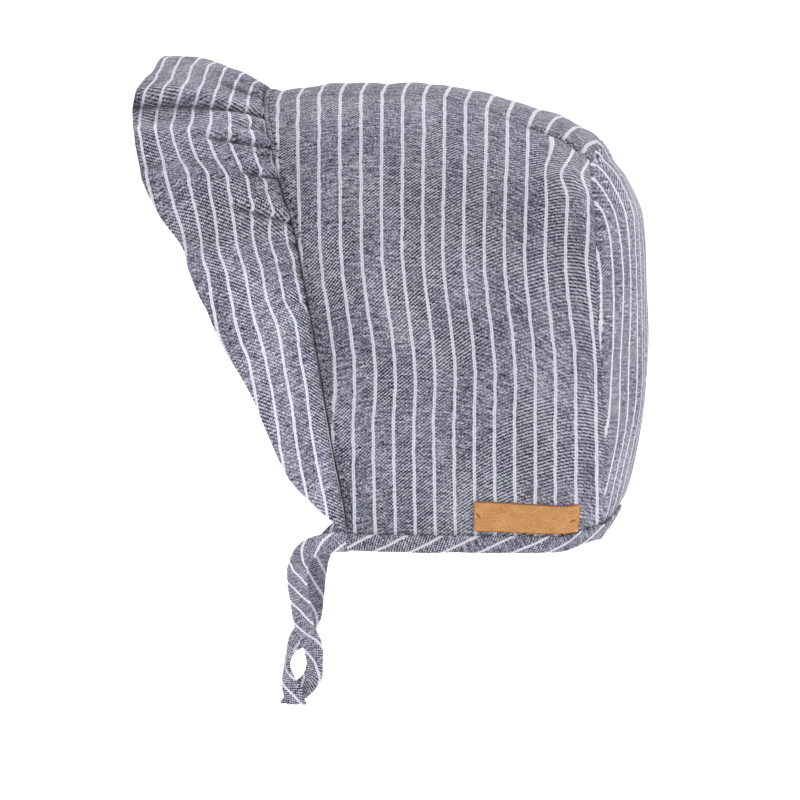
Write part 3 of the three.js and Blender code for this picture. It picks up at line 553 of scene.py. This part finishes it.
def stage_white():
    # One-sided, so that a camera behind the backdrop or below the floor sees the bonnet
    t = Tree("stage_white", 0.9, 0.1)
    t.put(t.shader.inputs["Base Color"], (0.9, 0.9, 0.9, 1))
    behind = t.nodes.new("ShaderNodeNewGeometry").outputs["Backfacing"]
    t.put(t.shader.inputs["Alpha"], t.math("SUBTRACT", 1.0, behind))
    return t.material


cotton = striped_cotton("striped_cotton")
tape = striped_cotton("bias_tape")
leather = tan_leather()
blue_thread = sewing_thread("blue_thread", (172, 172, 187))
# Dark thread that paints the shade of the stitch pits behind the front seam
pit_shade_thread = sewing_thread("pit_shade_thread", (38, 39, 52))
tan_thread = sewing_thread("brown_thread", (120, 78, 40))

# Camera at the photo's angle
camera = bpy.data.objects.new("camera", bpy.data.cameras.new("camera"))
bpy.context.scene.collection.objects.link(camera)
camera.data.sensor_width = 36
camera.data.lens = 36 * CAMERA_DISTANCE / (800 * PIXEL)
camera.location = Vector((CAMERA_TARGET + TO_CAMERA * CAMERA_DISTANCE) * MM)
camera.rotation_mode = "QUATERNION"
camera.rotation_quaternion = Vector(-TO_CAMERA).to_track_quat("-Z", "Y")
bpy.context.scene.camera = camera


def facing(normals, at, way):
    """Normals of a grid, turned round if the one at a grid point looks against the way."""
    return -normals if float((normals[at] * way).sum()) < 0 else normals


# Crown
def crown_stripe_place(points, along, turn):
    """Place across the stripes, in millimetres of cloth, so that they fall as in the photo."""
    mirrored = np.stack([points[..., 0], -np.abs(points[..., 1]), points[..., 2]], -1)
    px, py = in_photo(mirrored.reshape(-1, 3))
    px, py = px.reshape(along.shape), py.reshape(along.shape)
    first = table_curve(CROWN_STRIPES, 1)(np.maximum(py, 118))
    pitch = table_curve(CROWN_STRIPES, 2)(py)
    above = np.clip((tuck_line(along) - np.abs(turn)) / tuck_line(along), 0, 1)
    lean = (9 + 17 * smooth((along - 0.74) / 0.2)) * above
    jump = 9 * smooth((along - 0.8) / 0.14) * (above > 0)
    bend = 8 * bell(py - 176, 13) - 4 * bell(py - 147, 11) * (above <= 0)
    bend = bend * smooth((px - 535) / 25)
    return (px + bend - first - lean + jump) / pitch * STRIPE_PITCH


def brim_stripe_place(side, from_seam):
    """Place across the brim's stripes, in millimetres of cloth, from the table above."""
    count = len(BRIM_STRIPES[0]) - 1
    rows = np.stack([table_curve(BRIM_STRIPES, i + 1)(side[:, 0]) for i in range(count)], -1)
    rows = np.concatenate([rows[:, :1] - 2 * 6.3, rows, rows[:, -1:] + 2 * 6.3], -1)
    numbers = np.concatenate([[-2], np.arange(count), [count + 1]])
    place = np.stack([np.interp(far, row, numbers) for far, row in zip(from_seam, rows)])
    return place * STRIPE_PITCH


def crown_cloth():
    turns = np.linspace(-1, 1, 401)[:, None]
    alongs = np.concatenate([np.linspace(0, 0.03, 13), np.linspace(0.038, 0.975, 93),
                             np.linspace(0.98, 1, 6)])[None, :]
    turn, along = np.broadcast_arrays(turns, alongs)
    middle = crown_point(along, turn)
    normal = crown_normal(along, turn)
    from_front = lengths_along(middle, 1)
    to_back = from_front[:, -1:] - from_front
    round_length = lengths_along(middle, 0)
    top = len(turns) // 2
    round_length = round_length - round_length[top:top + 1, :]
    line = tuck_line(along)
    off_line = (np.abs(turn) - line) * CROWN_HALF_ROUND
    dart = smooth((along - 0.74) / 0.12)
    fade = smooth(along / 0.2) * (0.55 + 0.45 * smooth((along - 0.5) / 0.3))
    crease = -(0.4 + 0.35 * dart) * bell(off_line, 0.9) * fade
    crease = crease + (0.3 + 0.15 * dart) * bell(off_line + 2.0, 1.6) * fade
    uneven = 0.8 * np.sin(round_length * 0.37)
    pucker = 0.5 + 0.5 * np.sin(round_length * 2 * np.pi / STITCH_PITCH + uneven)
    front = -0.55 * bell(from_front, 0.7) - 0.3 * bell(from_front - 1.9, 0.6)
    front = front + (0.18 - 0.42 * pucker) * bell(from_front - 2.0, 1.5)
    back = -0.55 * bell(to_back, 0.8) - 0.22 * pucker * bell(to_back - 1.4, 1.3)
    wave = 0.30 * ripples(from_front, round_length, 46, 120, 3)
    wave = wave + 0.10 * ripples(from_front, round_length, 13, 40, 5)
    near = np.exp(-from_front / 9) * 0.28 * ripples(from_front, round_length, 60, 16, 8)
    hold = smooth(from_front / 4) * smooth(to_back / 4) * smooth((1 - np.abs(turn)) / 0.04)
    relief = crease + front + back + (wave + 0.3) * hold * 0.8 + near * smooth(from_front / 2)
    middle = middle + normal * relief[..., None]
    # Painted shade: colour darkened in the front seam, the stitch pits, the tuck, along the back
    # seam and on the crown's top, where less light falls from above
    pits = bell(from_front - 2.2, 0.8) * smooth((pucker - 0.5) / 0.4)
    tuck_shade = bell(off_line, 0.6) * fade * (0.2 + 0.25 * dart)
    shade = 0.8 * bell(from_front, 0.42) + 0.6 * pits + tuck_shade
    shade = shade + 0.3 * bell(to_back, 0.6) + 0.14 * (1 - smooth((np.abs(turn) - 0.08) / 0.14))
    normal = facing(grid_normals(middle), (top, 59), crown_normal(0.5, 0.0))
    place = crown_stripe_place(crown_point(along, turn), along, turn)
    uv = np.stack([place, round_length], -1)
    obj = cloth_shell("crown_cloth", middle, normal, uv, CLOTH_OUTER, CLOTH_INNER, cotton, shade)
    seam_normals = normal[:, STITCH_COLUMN]
    seam_line = middle[:, STITCH_COLUMN] + seam_normals * CLOTH_OUTER
    return obj, surface_area(middle), seam_line, seam_normals


def back_cloth():
    downs = np.linspace(0.004, 1, 180)[:, None]
    acrosses = np.sin(np.linspace(-1, 1, 101) * np.pi / 2)[None, :]
    across, down = np.broadcast_arrays(acrosses, downs)
    middle = back_point(across, down)
    normal = back_normal(across, down)
    half = np.linalg.norm((middle - crown_point(1.0, np.sign(across) * down)), axis=-1)
    round_length = lengths_along(middle, 0)
    pucker = 0.5 + 0.5 * np.sin(round_length * 2 * np.pi / 3.3)
    dent = -0.6 * bell(half, 0.8) - 0.25 * pucker * bell(half - 1.3, 1.2)
    hold = smooth(half / 4)
    wave = 0.25 * ripples(middle[..., 1], round_length, 40, 90, 21) * hold
    middle = middle + normal * (dent + wave)[..., None]
    normal = facing(grid_normals(middle), (90, 50), np.array([1.0, 0, 0]))
    y = middle[..., 1]
    place = y * (1.06 + 0.05 * (y / 49) ** 2)
    lean = 0.07 * (middle[..., 2] + 81) * np.sign(-y) * smooth(np.abs(y) / 8)
    uv = np.stack([place + 0.2 - lean, middle[..., 2]], -1)
    # Painted shade along the side seams, and the whole panel painted slightly lighter
    shade = 0.3 * bell(half, 0.6) - 0.06
    obj = cloth_shell("back_cloth", middle, normal, uv, CLOTH_OUTER, CLOTH_INNER, cotton, shade)
    return obj, surface_area(middle)


def brim_cloth():
    turns = np.linspace(-1, 1, 561)
    turns = (turns - 0.22 * np.sin(2 * np.pi * turns) / (2 * np.pi))[:, None]
    outs = np.linspace(0, 1, 81)[None, :]
    turn, out = np.broadcast_arrays(turns, outs)
    base = brim_point(turn, out)
    normal = brim_normal(turn, out)
    downward = unit(np.gradient(base, axis=0)) * np.sign(turn + 1e-9)[..., None]
    side = np.abs(turn)
    round_length = lengths_along(base, 0)
    shift = np.zeros(base.shape)
    shade = np.zeros(side.shape)
    for number, (start, end, reach, depth, lip, width) in enumerate(BRIM_CREASES):
        tilt = np.where(turn > 0, 0.006 * math.sin(number * 2.3), 0)
        place = start + (end - start) * np.clip(out / reach, 0, 1) + tilt
        faded = 1 - smooth((out / reach - 0.55) / 0.45) * (reach < 0.95)
        grow = smooth(out / 0.03 * 0.7 + 0.3) * faded
        away = (side - place) / width
        valley = np.exp(-(away - 0.35) ** 2 * 1.6)
        ridge = bell(away + 1.15, 0.95)
        shift += normal * ((-depth * valley + 0.55 * lip * ridge) * grow)[..., None]
        shift += downward * (0.75 * lip * ridge * grow)[..., None]
        # Painted shade in each crease's valley, and a wider, fainter painted shade beside it
        shade = shade + 0.32 * min(depth, 2.0) * bell(away - 0.15, 0.42) * grow
        shade = shade + 0.05 * min(depth, 2.0) * bell(away - 1.2, 1.3) * grow
    from_seam = lengths_along(base, 1)
    gather = np.sin(round_length * 2 * np.pi / 4.6 + 1.4 * np.sin(round_length * 0.23))
    many = 1 - smooth((side - 0.5) / 0.25)
    small = 0.5 * gather * np.exp(-from_seam / 5.5) * smooth(from_seam / 1.2) * (0.35 + 0.65 * many)
    root = -0.9 * bell(from_seam, 0.9)
    wave = 0.5 * ripples(round_length, from_seam, 38, 60, 31) * smooth(from_seam / 12)
    wave = wave * smooth((1 - side) / 0.15)
    middle = base + shift * smooth((1 - side) / 0.1)[..., None]
    middle = middle + normal * (small + root + wave)[..., None]
    middle[:, 0] -= unit(base[:, 1] - base[:, 0]) * ROOT_LAP
    fresh = facing(grid_normals(middle), (140, 40), normal[140, 40])
    unfolded = lengths_along(brim_base(turn, out), 1)
    uv = np.stack([brim_stripe_place(side, unfolded), round_length], -1)
    # Painted shadow along a soft valley from the first fold to the second crease
    valley_shadow = (side - 0.288 + 0.085 * out) / 0.02
    shade = shade + 0.18 * np.exp(-valley_shadow * valley_shadow) * smooth(out / 0.3) * smooth((1 - out) / 0.25)
    # Painted light on the lower brim, as if light came through the cloth
    painted_light = 0.08 * smooth((side - 0.15) / 0.1) + 0.20 * smooth((side - 0.42) / 0.2)
    shade = shade - painted_light * smooth(from_seam / 4)
    # Painted shade on the brim's top part, and painted light just below the first fold
    shade = shade + 0.10 * (1 - smooth((side - 0.12) / 0.05)) - 0.08 * bell(side - 0.25, 0.06)
    # Painted shade in the seam at the brim's root and in the hollows of the gathers
    shade = shade + 0.9 * bell(from_seam, 0.7)
    shade = shade + 0.2 * many * np.exp(-from_seam / 3) * (gather < -0.4)
    obj = cloth_shell("brim_cloth", middle, fresh, uv, 0.45, 0.45, cotton, shade)
    return obj, surface_area(middle)


# Tapes: closed sections swept along a route
def tape_tube(name, points, around, lengths, material, shade=None):
    """Closed tube through rows of points, with the cloth's stripes on the bias."""
    count, size = points.shape[:2]
    number = np.arange(count * size).reshape(count, size)
    following = np.roll(number, -1, axis=1)
    sides = np.stack([number[:-1], following[:-1], following[1:], number[1:]], -1)
    faces = sides.reshape(-1, 4).tolist() + [number[0, ::-1].tolist(), number[-1].tolist()]
    around = np.broadcast_to(around[None, :], (count, size))
    along = np.broadcast_to(lengths[:, None], (count, size))
    uv = np.stack([BIAS_ACROSS[0] * along + BIAS_ACROSS[1] * around,
                   BIAS_DOWN[0] * along + BIAS_DOWN[1] * around], -1).reshape(-1, 2)
    return mesh_object(name, points.reshape(-1, 3), faces, uv, material, shade)


def flat_section(width, thick, rounding=5):
    """Outline of a folded tape, in width and thickness: flat sides and rounded edges."""
    half, r = width / 2, thick / 2
    points = []
    for sign in (1, -1):
        for i in range(9):
            sag = 1 - 0.10 * math.cos((i / 8 - 0.5) * math.pi)
            points.append((sign * (half - r - (width - 2 * r) * i / 8), sign * r * sag))
        for i in range(1, rounding):
            a = math.pi / 2 + math.pi * i / rounding
            points.append((sign * (r - half + r * math.cos(a)), sign * r * math.sin(a)))
    return np.array(points)


def catmull_rom(knots, at):
    """Centripetal Catmull-Rom curve through the knots, as the part's source draws it."""
    knots = np.asarray(knots, float)
    last = len(knots) - 1
    points, tangents = [], []
    for place in at:
        p = last * place
        i = min(int(math.floor(p)), last - 1)
        w = p - i
        p1, p2 = knots[i], knots[i + 1]
        p0 = knots[i - 1] if i > 0 else 2 * knots[0] - knots[1]
        p3 = knots[i + 2] if i + 2 <= last else 2 * knots[last] - knots[last - 1]
        d0, d1, d2 = (max(np.linalg.norm(b - a) ** 0.5, 1e-4)
                      for a, b in ((p0, p1), (p1, p2), (p2, p3)))
        t1 = ((p1 - p0) / d0 - (p2 - p0) / (d0 + d1) + (p2 - p1) / d1) * d1
        t2 = ((p2 - p1) / d1 - (p3 - p1) / (d1 + d2) + (p3 - p2) / d2) * d1
        c2, c3 = -3 * p1 + 3 * p2 - 2 * t1 - t2, 2 * p1 - 2 * p2 + t1 + t2
        points.append(p1 + t1 * w + c2 * w * w + c3 * w ** 3)
        tangents.append(unit(t1 + 2 * c2 * w + 3 * c3 * w * w))
    return np.array(points), np.array(tangents)


def turned(v, axis, angle):
    """v turned about unit axes by angles."""
    c, s = np.cos(angle)[:, None], np.sin(angle)[:, None]
    return v * c + np.cross(axis, v) * s + axis * (axis * v).sum(-1, keepdims=True) * (1 - c)


def tie_tape(name, route, sign):
    start = crown_point(0.0, float(sign))
    up = unit(crown_point(0.0, sign * 0.98) - start)
    forward = unit(np.cross(crown_normal(0.0, float(sign)), up))
    forward = forward * -np.sign(forward[0])
    middle = start + up * (BINDING_HEIGHT / 2 - BINDING_BELOW) + forward * SEAM_GAP
    rows = np.array(route, float)
    knots = np.stack([middle[0] - TIE_FORWARD * rows[:, 0],
                      middle[1] * (1 - rows[:, 1]) + sign * TIE_PASS * rows[:, 5],
                      middle[2] - TIE_DROP * rows[:, 2]], -1)
    at = np.linspace(0, 1, 181)
    centre, tangent = catmull_rom(knots, at)
    keyed = [(i / (len(route) - 1),) + tuple(r) for i, r in enumerate(route)]
    turn = table_curve(keyed, 4)(at) * np.pi / 2
    roll = table_curve(keyed, 5)(at) * np.pi / 2
    width = up[None] * np.cos(turn)[:, None]
    width[:, 0] -= np.sin(turn)
    square = smooth(at / TIE_SQUARE) * smooth((1 - at) / TIE_SQUARE)
    width = unit(width - tangent * ((width * tangent).sum(-1) * square)[:, None])
    width = turned(width, tangent, sign * roll)
    lead_share = smooth(at / TIE_SQUARE)[:, None]
    lead = forward[None] * (1 - lead_share) + tangent * lead_share
    thick = unit(np.cross(lead, width))
    centre[0] = centre[0] - forward * 0.25
    lengths = lengths_along(centre, 0)
    ripple = 0.12 * ripples(lengths, 0 * lengths, 9, 9, 41 + sign)
    section = flat_section(TIE_WIDTH, TIE_THICKNESS * 0.9)
    rippled = centre + thick * ripple[:, None] * smooth(at / 0.1)[:, None]
    points = (rippled[:, None] + width[:, None] * section[None, :, 0:1]
              + thick[:, None] * section[None, :, 1:2])
    # Painted light over the whole tie
    shade = np.full(len(at) * len(section), TIE_PAINTED_LIGHT)
    obj = tape_tube(name, points, section[:, 0], -lengths, tape, shade)
    return obj, centre, float(lengths[-1])


def neck_route(count_side, count_back):
    """Neck edge from the left front corner round the nape to the right one."""
    along = np.linspace(0, 1, count_side)
    left = crown_point(along, -1.0)
    left_up = crown_point(along, -0.98) - left
    left_n = crown_normal(along, -1.0 + 0 * along)
    across = np.linspace(-1, 1, count_back)[1:-1]
    nape = back_point(across, 1.0 + 0 * across)
    nape_up = back_point(across, 0.98 + 0 * across) - nape
    nape_n = back_normal(across, 1.0 + 0 * across)
    mirror = np.array([1, -1, 1])
    points = np.concatenate([left, nape, left[::-1] * mirror])
    ups = unit(np.concatenate([left_up, nape_up, left_up[::-1] * mirror]))
    normals = np.concatenate([left_n, nape_n, left_n[::-1] * mirror])
    for _ in range(6):
        normals[1:-1] = unit(normals[:-2] + 2 * normals[1:-1] + normals[2:])
        ups[1:-1] = unit(ups[:-2] + 2 * ups[1:-1] + ups[2:])
    return points, ups, normals


def binding_tape():
    points, ups, normals = neck_route(150, 110)
    inner = CLOTH_WALL / 2 + SEAM_GAP
    outer = inner + BINDING_WALL
    bottom, top = -BINDING_BELOW, -BINDING_BELOW + BINDING_HEIGHT
    fold, cloth = 1.5, CLOTH_WALL / 2 + 0.02
    wall = [(bottom + fold + (top - bottom - 1.8) * i / 6,
             outer - 0.10 + 0.16 * math.sin(math.pi * i / 6)) for i in range(7)]
    wall += [(top, outer - 0.35), (top, outer - 0.7), (top - 0.3, cloth), (0.2, cloth),
             (-0.15, 0.35)]
    outline = wall + [(height, -out) for height, out in reversed(wall)]
    for i in range(1, 8):
        a = math.pi * i / 8
        outline.append((bottom + fold - fold * math.sin(a), -(outer - 0.10) * math.cos(a)))
    height, out = np.array(outline).T
    lengths = lengths_along(points, 0)
    pucker = 0.5 + 0.5 * np.sin(lengths * 2 * np.pi / 3.0)
    high = smooth((height - (top - 2.4)) / 1.2) * (np.abs(out) > inner)
    swell = 1 - 0.10 * high[None, :] * pucker[:, None]
    wave = 0.10 * ripples(lengths, 0 * lengths, 26, 26, 51)
    tube = (points[:, None] + ups[:, None] * (height[None, :, None] + wave[:, None, None])
            + normals[:, None] * (out[None, :] * swell)[..., None])
    return tape_tube("binding_tape", tube, height * np.sign(out + 1e-6), lengths, tape)


def fix_normals(obj):
    """Turns every face outward."""
    mesh = bmesh.new()
    mesh.from_mesh(obj.data)
    bmesh.ops.recalc_face_normals(mesh, faces=mesh.faces)
    mesh.to_mesh(obj.data)
    mesh.free()


def stitches(name, centres, directions, normals, length, radius, material):
    """Short sunk threads, one at each centre."""
    ring, sections = 6, 6
    points, faces, uvs = [], [], []
    for c, d, n in zip(centres, directions, normals):
        side = np.cross(n, d)
        base = len(points)
        for i in range(sections + 1):
            s = i / sections * 2 - 1
            fat = radius * math.sqrt(max(1 - s ** 4, 0.03))
            sink = radius * 0.9 * s * s * s * s
            for j in range(ring):
                a = 2 * math.pi * j / ring
                out = fat * math.sin(a) * 0.75 - sink
                points.append(c + d * (s * length / 2) + n * out + side * (fat * math.cos(a)))
                uvs.append((s * length / 2, a))
        for i in range(sections):
            for j in range(ring):
                k = (j + 1) % ring
                low = base + i * ring
                faces.append([low + j, low + k, low + ring + k, low + ring + j])
        faces.append([base + j for j in range(ring)][::-1])
        faces.append([base + sections * ring + j for j in range(ring)])
    return mesh_object(name, np.array(points), faces, np.array(uvs), material)


def front_topstitch(path, normals):
    """Topstitch on the crown, close behind its front seam, and short dark threads at its stitches'
    ends, painted shade of the pits there.
    """
    lengths = lengths_along(path, 0)
    ahead = unit(np.gradient(path, axis=0))
    sets = []
    for first, sink in ((2.0, 0.0), (2.0 + STITCH_PITCH / 2, 0.05)):
        at = np.arange(first, lengths[-1] - 2, STITCH_PITCH)
        rows = [np.stack([np.interp(at, lengths, grid[:, i]) for i in range(3)], -1)
                for grid in (path, ahead, normals)]
        sets.append((rows[0] - rows[2] * sink, unit(rows[1]), unit(rows[2])))
    # Painted shade: the pits are drawn as short dark threads across the line
    centres, ahead, normals = sets[1]
    return (stitches("front_topstitch", *sets[0], 2.0, 0.24, blue_thread),
            stitches("front_stitch_pits", centres, np.cross(normals, ahead), normals, 1.3, 0.36,
                     pit_shade_thread))


def leather_patch():
    columns, rows = 96, 28
    share = (BINDING_HEIGHT - BINDING_BELOW) / (CROWN_HEIGHT * (1 - WIDEST_DOWN))
    edge = -1 + share * (1 - WIDEST_TURN)
    corner = crown_point(LABEL_ALONG, edge)
    further = crown_point(LABEL_ALONG + LABEL_SPAN, edge)
    higher = crown_point(LABEL_ALONG, edge + LABEL_SPAN)
    along_length = np.linalg.norm(corner - further) / LABEL_SPAN
    round_length = np.linalg.norm(corner - higher) / LABEL_SPAN
    low = 2 * SEAM_GAP + LABEL_TILT * (LABEL_LENGTH / 2) + LABEL_HEIGHT / 2
    across = -LABEL_LENGTH / 2 * np.cos(np.pi * np.arange(columns + 1) / columns)
    to_end = LABEL_LENGTH / 2 - np.abs(across)
    rounding = LABEL_CORNER - np.minimum(to_end, LABEL_CORNER)
    corner_height = np.sqrt(np.maximum(LABEL_CORNER ** 2 - rounding ** 2, 0))
    half = LABEL_HEIGHT / 2 - LABEL_CORNER + corner_height
    height = half[:, None] * -np.cos(np.pi * np.arange(rows + 1) / rows)[None, :]
    acrosses = np.broadcast_to(across[:, None], height.shape)
    along = LABEL_ALONG + (acrosses + LABEL_TILT * height) / along_length
    place = edge + (low + height - LABEL_TILT * acrosses) / round_length
    normal = crown_normal(along, place)
    surface = crown_point(along, place)
    inside = np.minimum(to_end[:, None], half[:, None] - np.abs(height))
    full = np.sqrt(np.clip(1 - (1 - np.clip(inside / 0.55, 0, 1)) ** 2, 0, 1))
    foot = CLOTH_WALL / 2 - 0.06
    thick = 0.35 + (LABEL_THICKNESS - 0.1 - 0.35) * full
    thick = thick + 0.05 * ripples(acrosses, height, 14, 9, 61)
    top = surface + normal * (foot + thick)[..., None]
    bottom = surface + normal * foot
    count = (columns + 1) * (rows + 1)
    number = np.arange(count).reshape(columns + 1, rows + 1)
    front = np.stack([number[:-1, :-1], number[1:, :-1], number[1:, 1:], number[:-1, 1:]], -1)
    front = front.reshape(-1, 4)
    back = front[:, ::-1] + count
    ring = np.concatenate([number[0, :-1], number[:-1, -1], number[-1, :0:-1], number[:0:-1, 0]])
    following = np.roll(ring, -1)
    rim = np.stack([ring, following, following + count, ring + count], -1)
    uv = np.stack([acrosses, height], -1).reshape(-1, 2)
    points = np.concatenate([top.reshape(-1, 3), bottom.reshape(-1, 3)])
    faces = np.concatenate([front, back, rim]).tolist()
    obj = mesh_object("leather_patch", points, faces, np.concatenate([uv, uv]), leather)
    marks = []
    for a, h, slope in ((-LABEL_LENGTH / 2 + 1.7, 0.3, -0.9), (LABEL_LENGTH / 2 - 2.2, -0.6, 0.12)):
        at_along = LABEL_ALONG + (a + LABEL_TILT * h) / along_length
        at_place = edge + (low + h - LABEL_TILT * a) / round_length
        n = crown_normal(at_along, at_place)
        ahead = unit(crown_point(at_along + 0.01, at_place)
                     - crown_point(at_along - 0.01, at_place))
        upward = unit(crown_point(at_along, at_place + 0.01)
                      - crown_point(at_along, at_place - 0.01))
        direction = unit(ahead * math.cos(slope) + upward * math.sin(slope))
        centre = crown_point(at_along, at_place) + n * (foot + LABEL_THICKNESS - 0.12)
        marks.append((centre, direction, n))
    c, d, n = (np.array(x) for x in zip(*marks))
    return obj, stitches("label_stitches", c, d, n, 3.0, 0.22, tan_thread)


crown, crown_area, stitch_line, stitch_normals = crown_cloth()
back, back_area = back_cloth()
brim, brim_area = brim_cloth()
binding = binding_tape()
tie_left, left_line, left_length = tie_tape("tie_left_tape", TIE_LEFT_ROUTE, -1)
tie_right, right_line, right_length = tie_tape("tie_right_tape", TIE_RIGHT_ROUTE, 1)
topstitch, stitch_pit_shade = front_topstitch(stitch_line, stitch_normals)
patch, patch_stitches = leather_patch()

for piece, nodes, slot in (
        (crown, ["crown_panel"], "striped_cotton"), (back, ["back_panel"], "striped_cotton"),
        (brim, ["brim"], "striped_cotton"), (binding, ["neck_binding"], "bias_tape"),
        (tie_left, ["tie_left"], "bias_tape"), (tie_right, ["tie_right"], "bias_tape"),
        (patch, ["leather_label"], "tan_leather"), (topstitch, [], "striped_cotton"),
        (stitch_pit_shade, [], "striped_cotton"),
        (patch_stitches, [], "tan_leather")):
    fix_normals(piece)
    if nodes:
        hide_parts(*nodes)
    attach(piece, "root")


# Stage: a pale floor that curves up into a backdrop, and soft light
def backdrop():
    floor, front_y, back_y, radius, steps = -0.30, -3.0, 0.9, 0.5, 16
    half_width, top = 4.0, 3.0
    profile = [(front_y, floor), (back_y - radius, floor)]
    for i in range(1, steps + 1):
        a = math.pi / 2 * i / steps
        profile.append((back_y - radius + radius * math.sin(a), floor + radius * (1 - math.cos(a))))
    profile.append((back_y, top))
    points = [(x, y, z) for y, z in profile for x in (-half_width, half_width)]
    faces = [[2 * i, 2 * i + 1, 2 * i + 3, 2 * i + 2] for i in range(len(profile) - 1)]
    mesh = bpy.data.meshes.new("backdrop")
    mesh.from_pydata(points, [], faces)
    mesh.polygons.foreach_set("use_smooth", [True] * len(mesh.polygons))
    mesh.materials.append(stage_white())
    obj = bpy.data.objects.new("backdrop", mesh)
    bpy.context.scene.collection.objects.link(obj)


def soft_light(name, place, target, size, power):
    light = bpy.data.lights.new(name, "AREA")
    light.shape = "SQUARE"
    light.size = size
    light.energy = power
    obj = bpy.data.objects.new(name, light)
    obj.location = place
    obj.rotation_mode = "QUATERNION"
    obj.rotation_quaternion = (Vector(target) - Vector(place)).to_track_quat("-Z", "Y")
    bpy.context.scene.collection.objects.link(obj)


backdrop()
world = bpy.data.worlds.new("studio")
world.use_nodes = True
world.node_tree.nodes["Background"].inputs[0].default_value = (1.0, 1.0, 1.0, 1)
world.node_tree.nodes["Background"].inputs[1].default_value = 0.65
bpy.context.scene.world = world
bpy.context.scene.view_settings.view_transform = "Standard"
soft_light("key", (-1.6, -0.8, -0.1), (0, 0, -0.12), 0.9, 11)
soft_light("fill", (1.6, -0.8, -0.2), (0, 0, -0.12), 0.9, 14)
soft_light("backdrop_light", (0.0, 0.6, 1.4), (0, 2.0, 0.3), 1.2, 30)
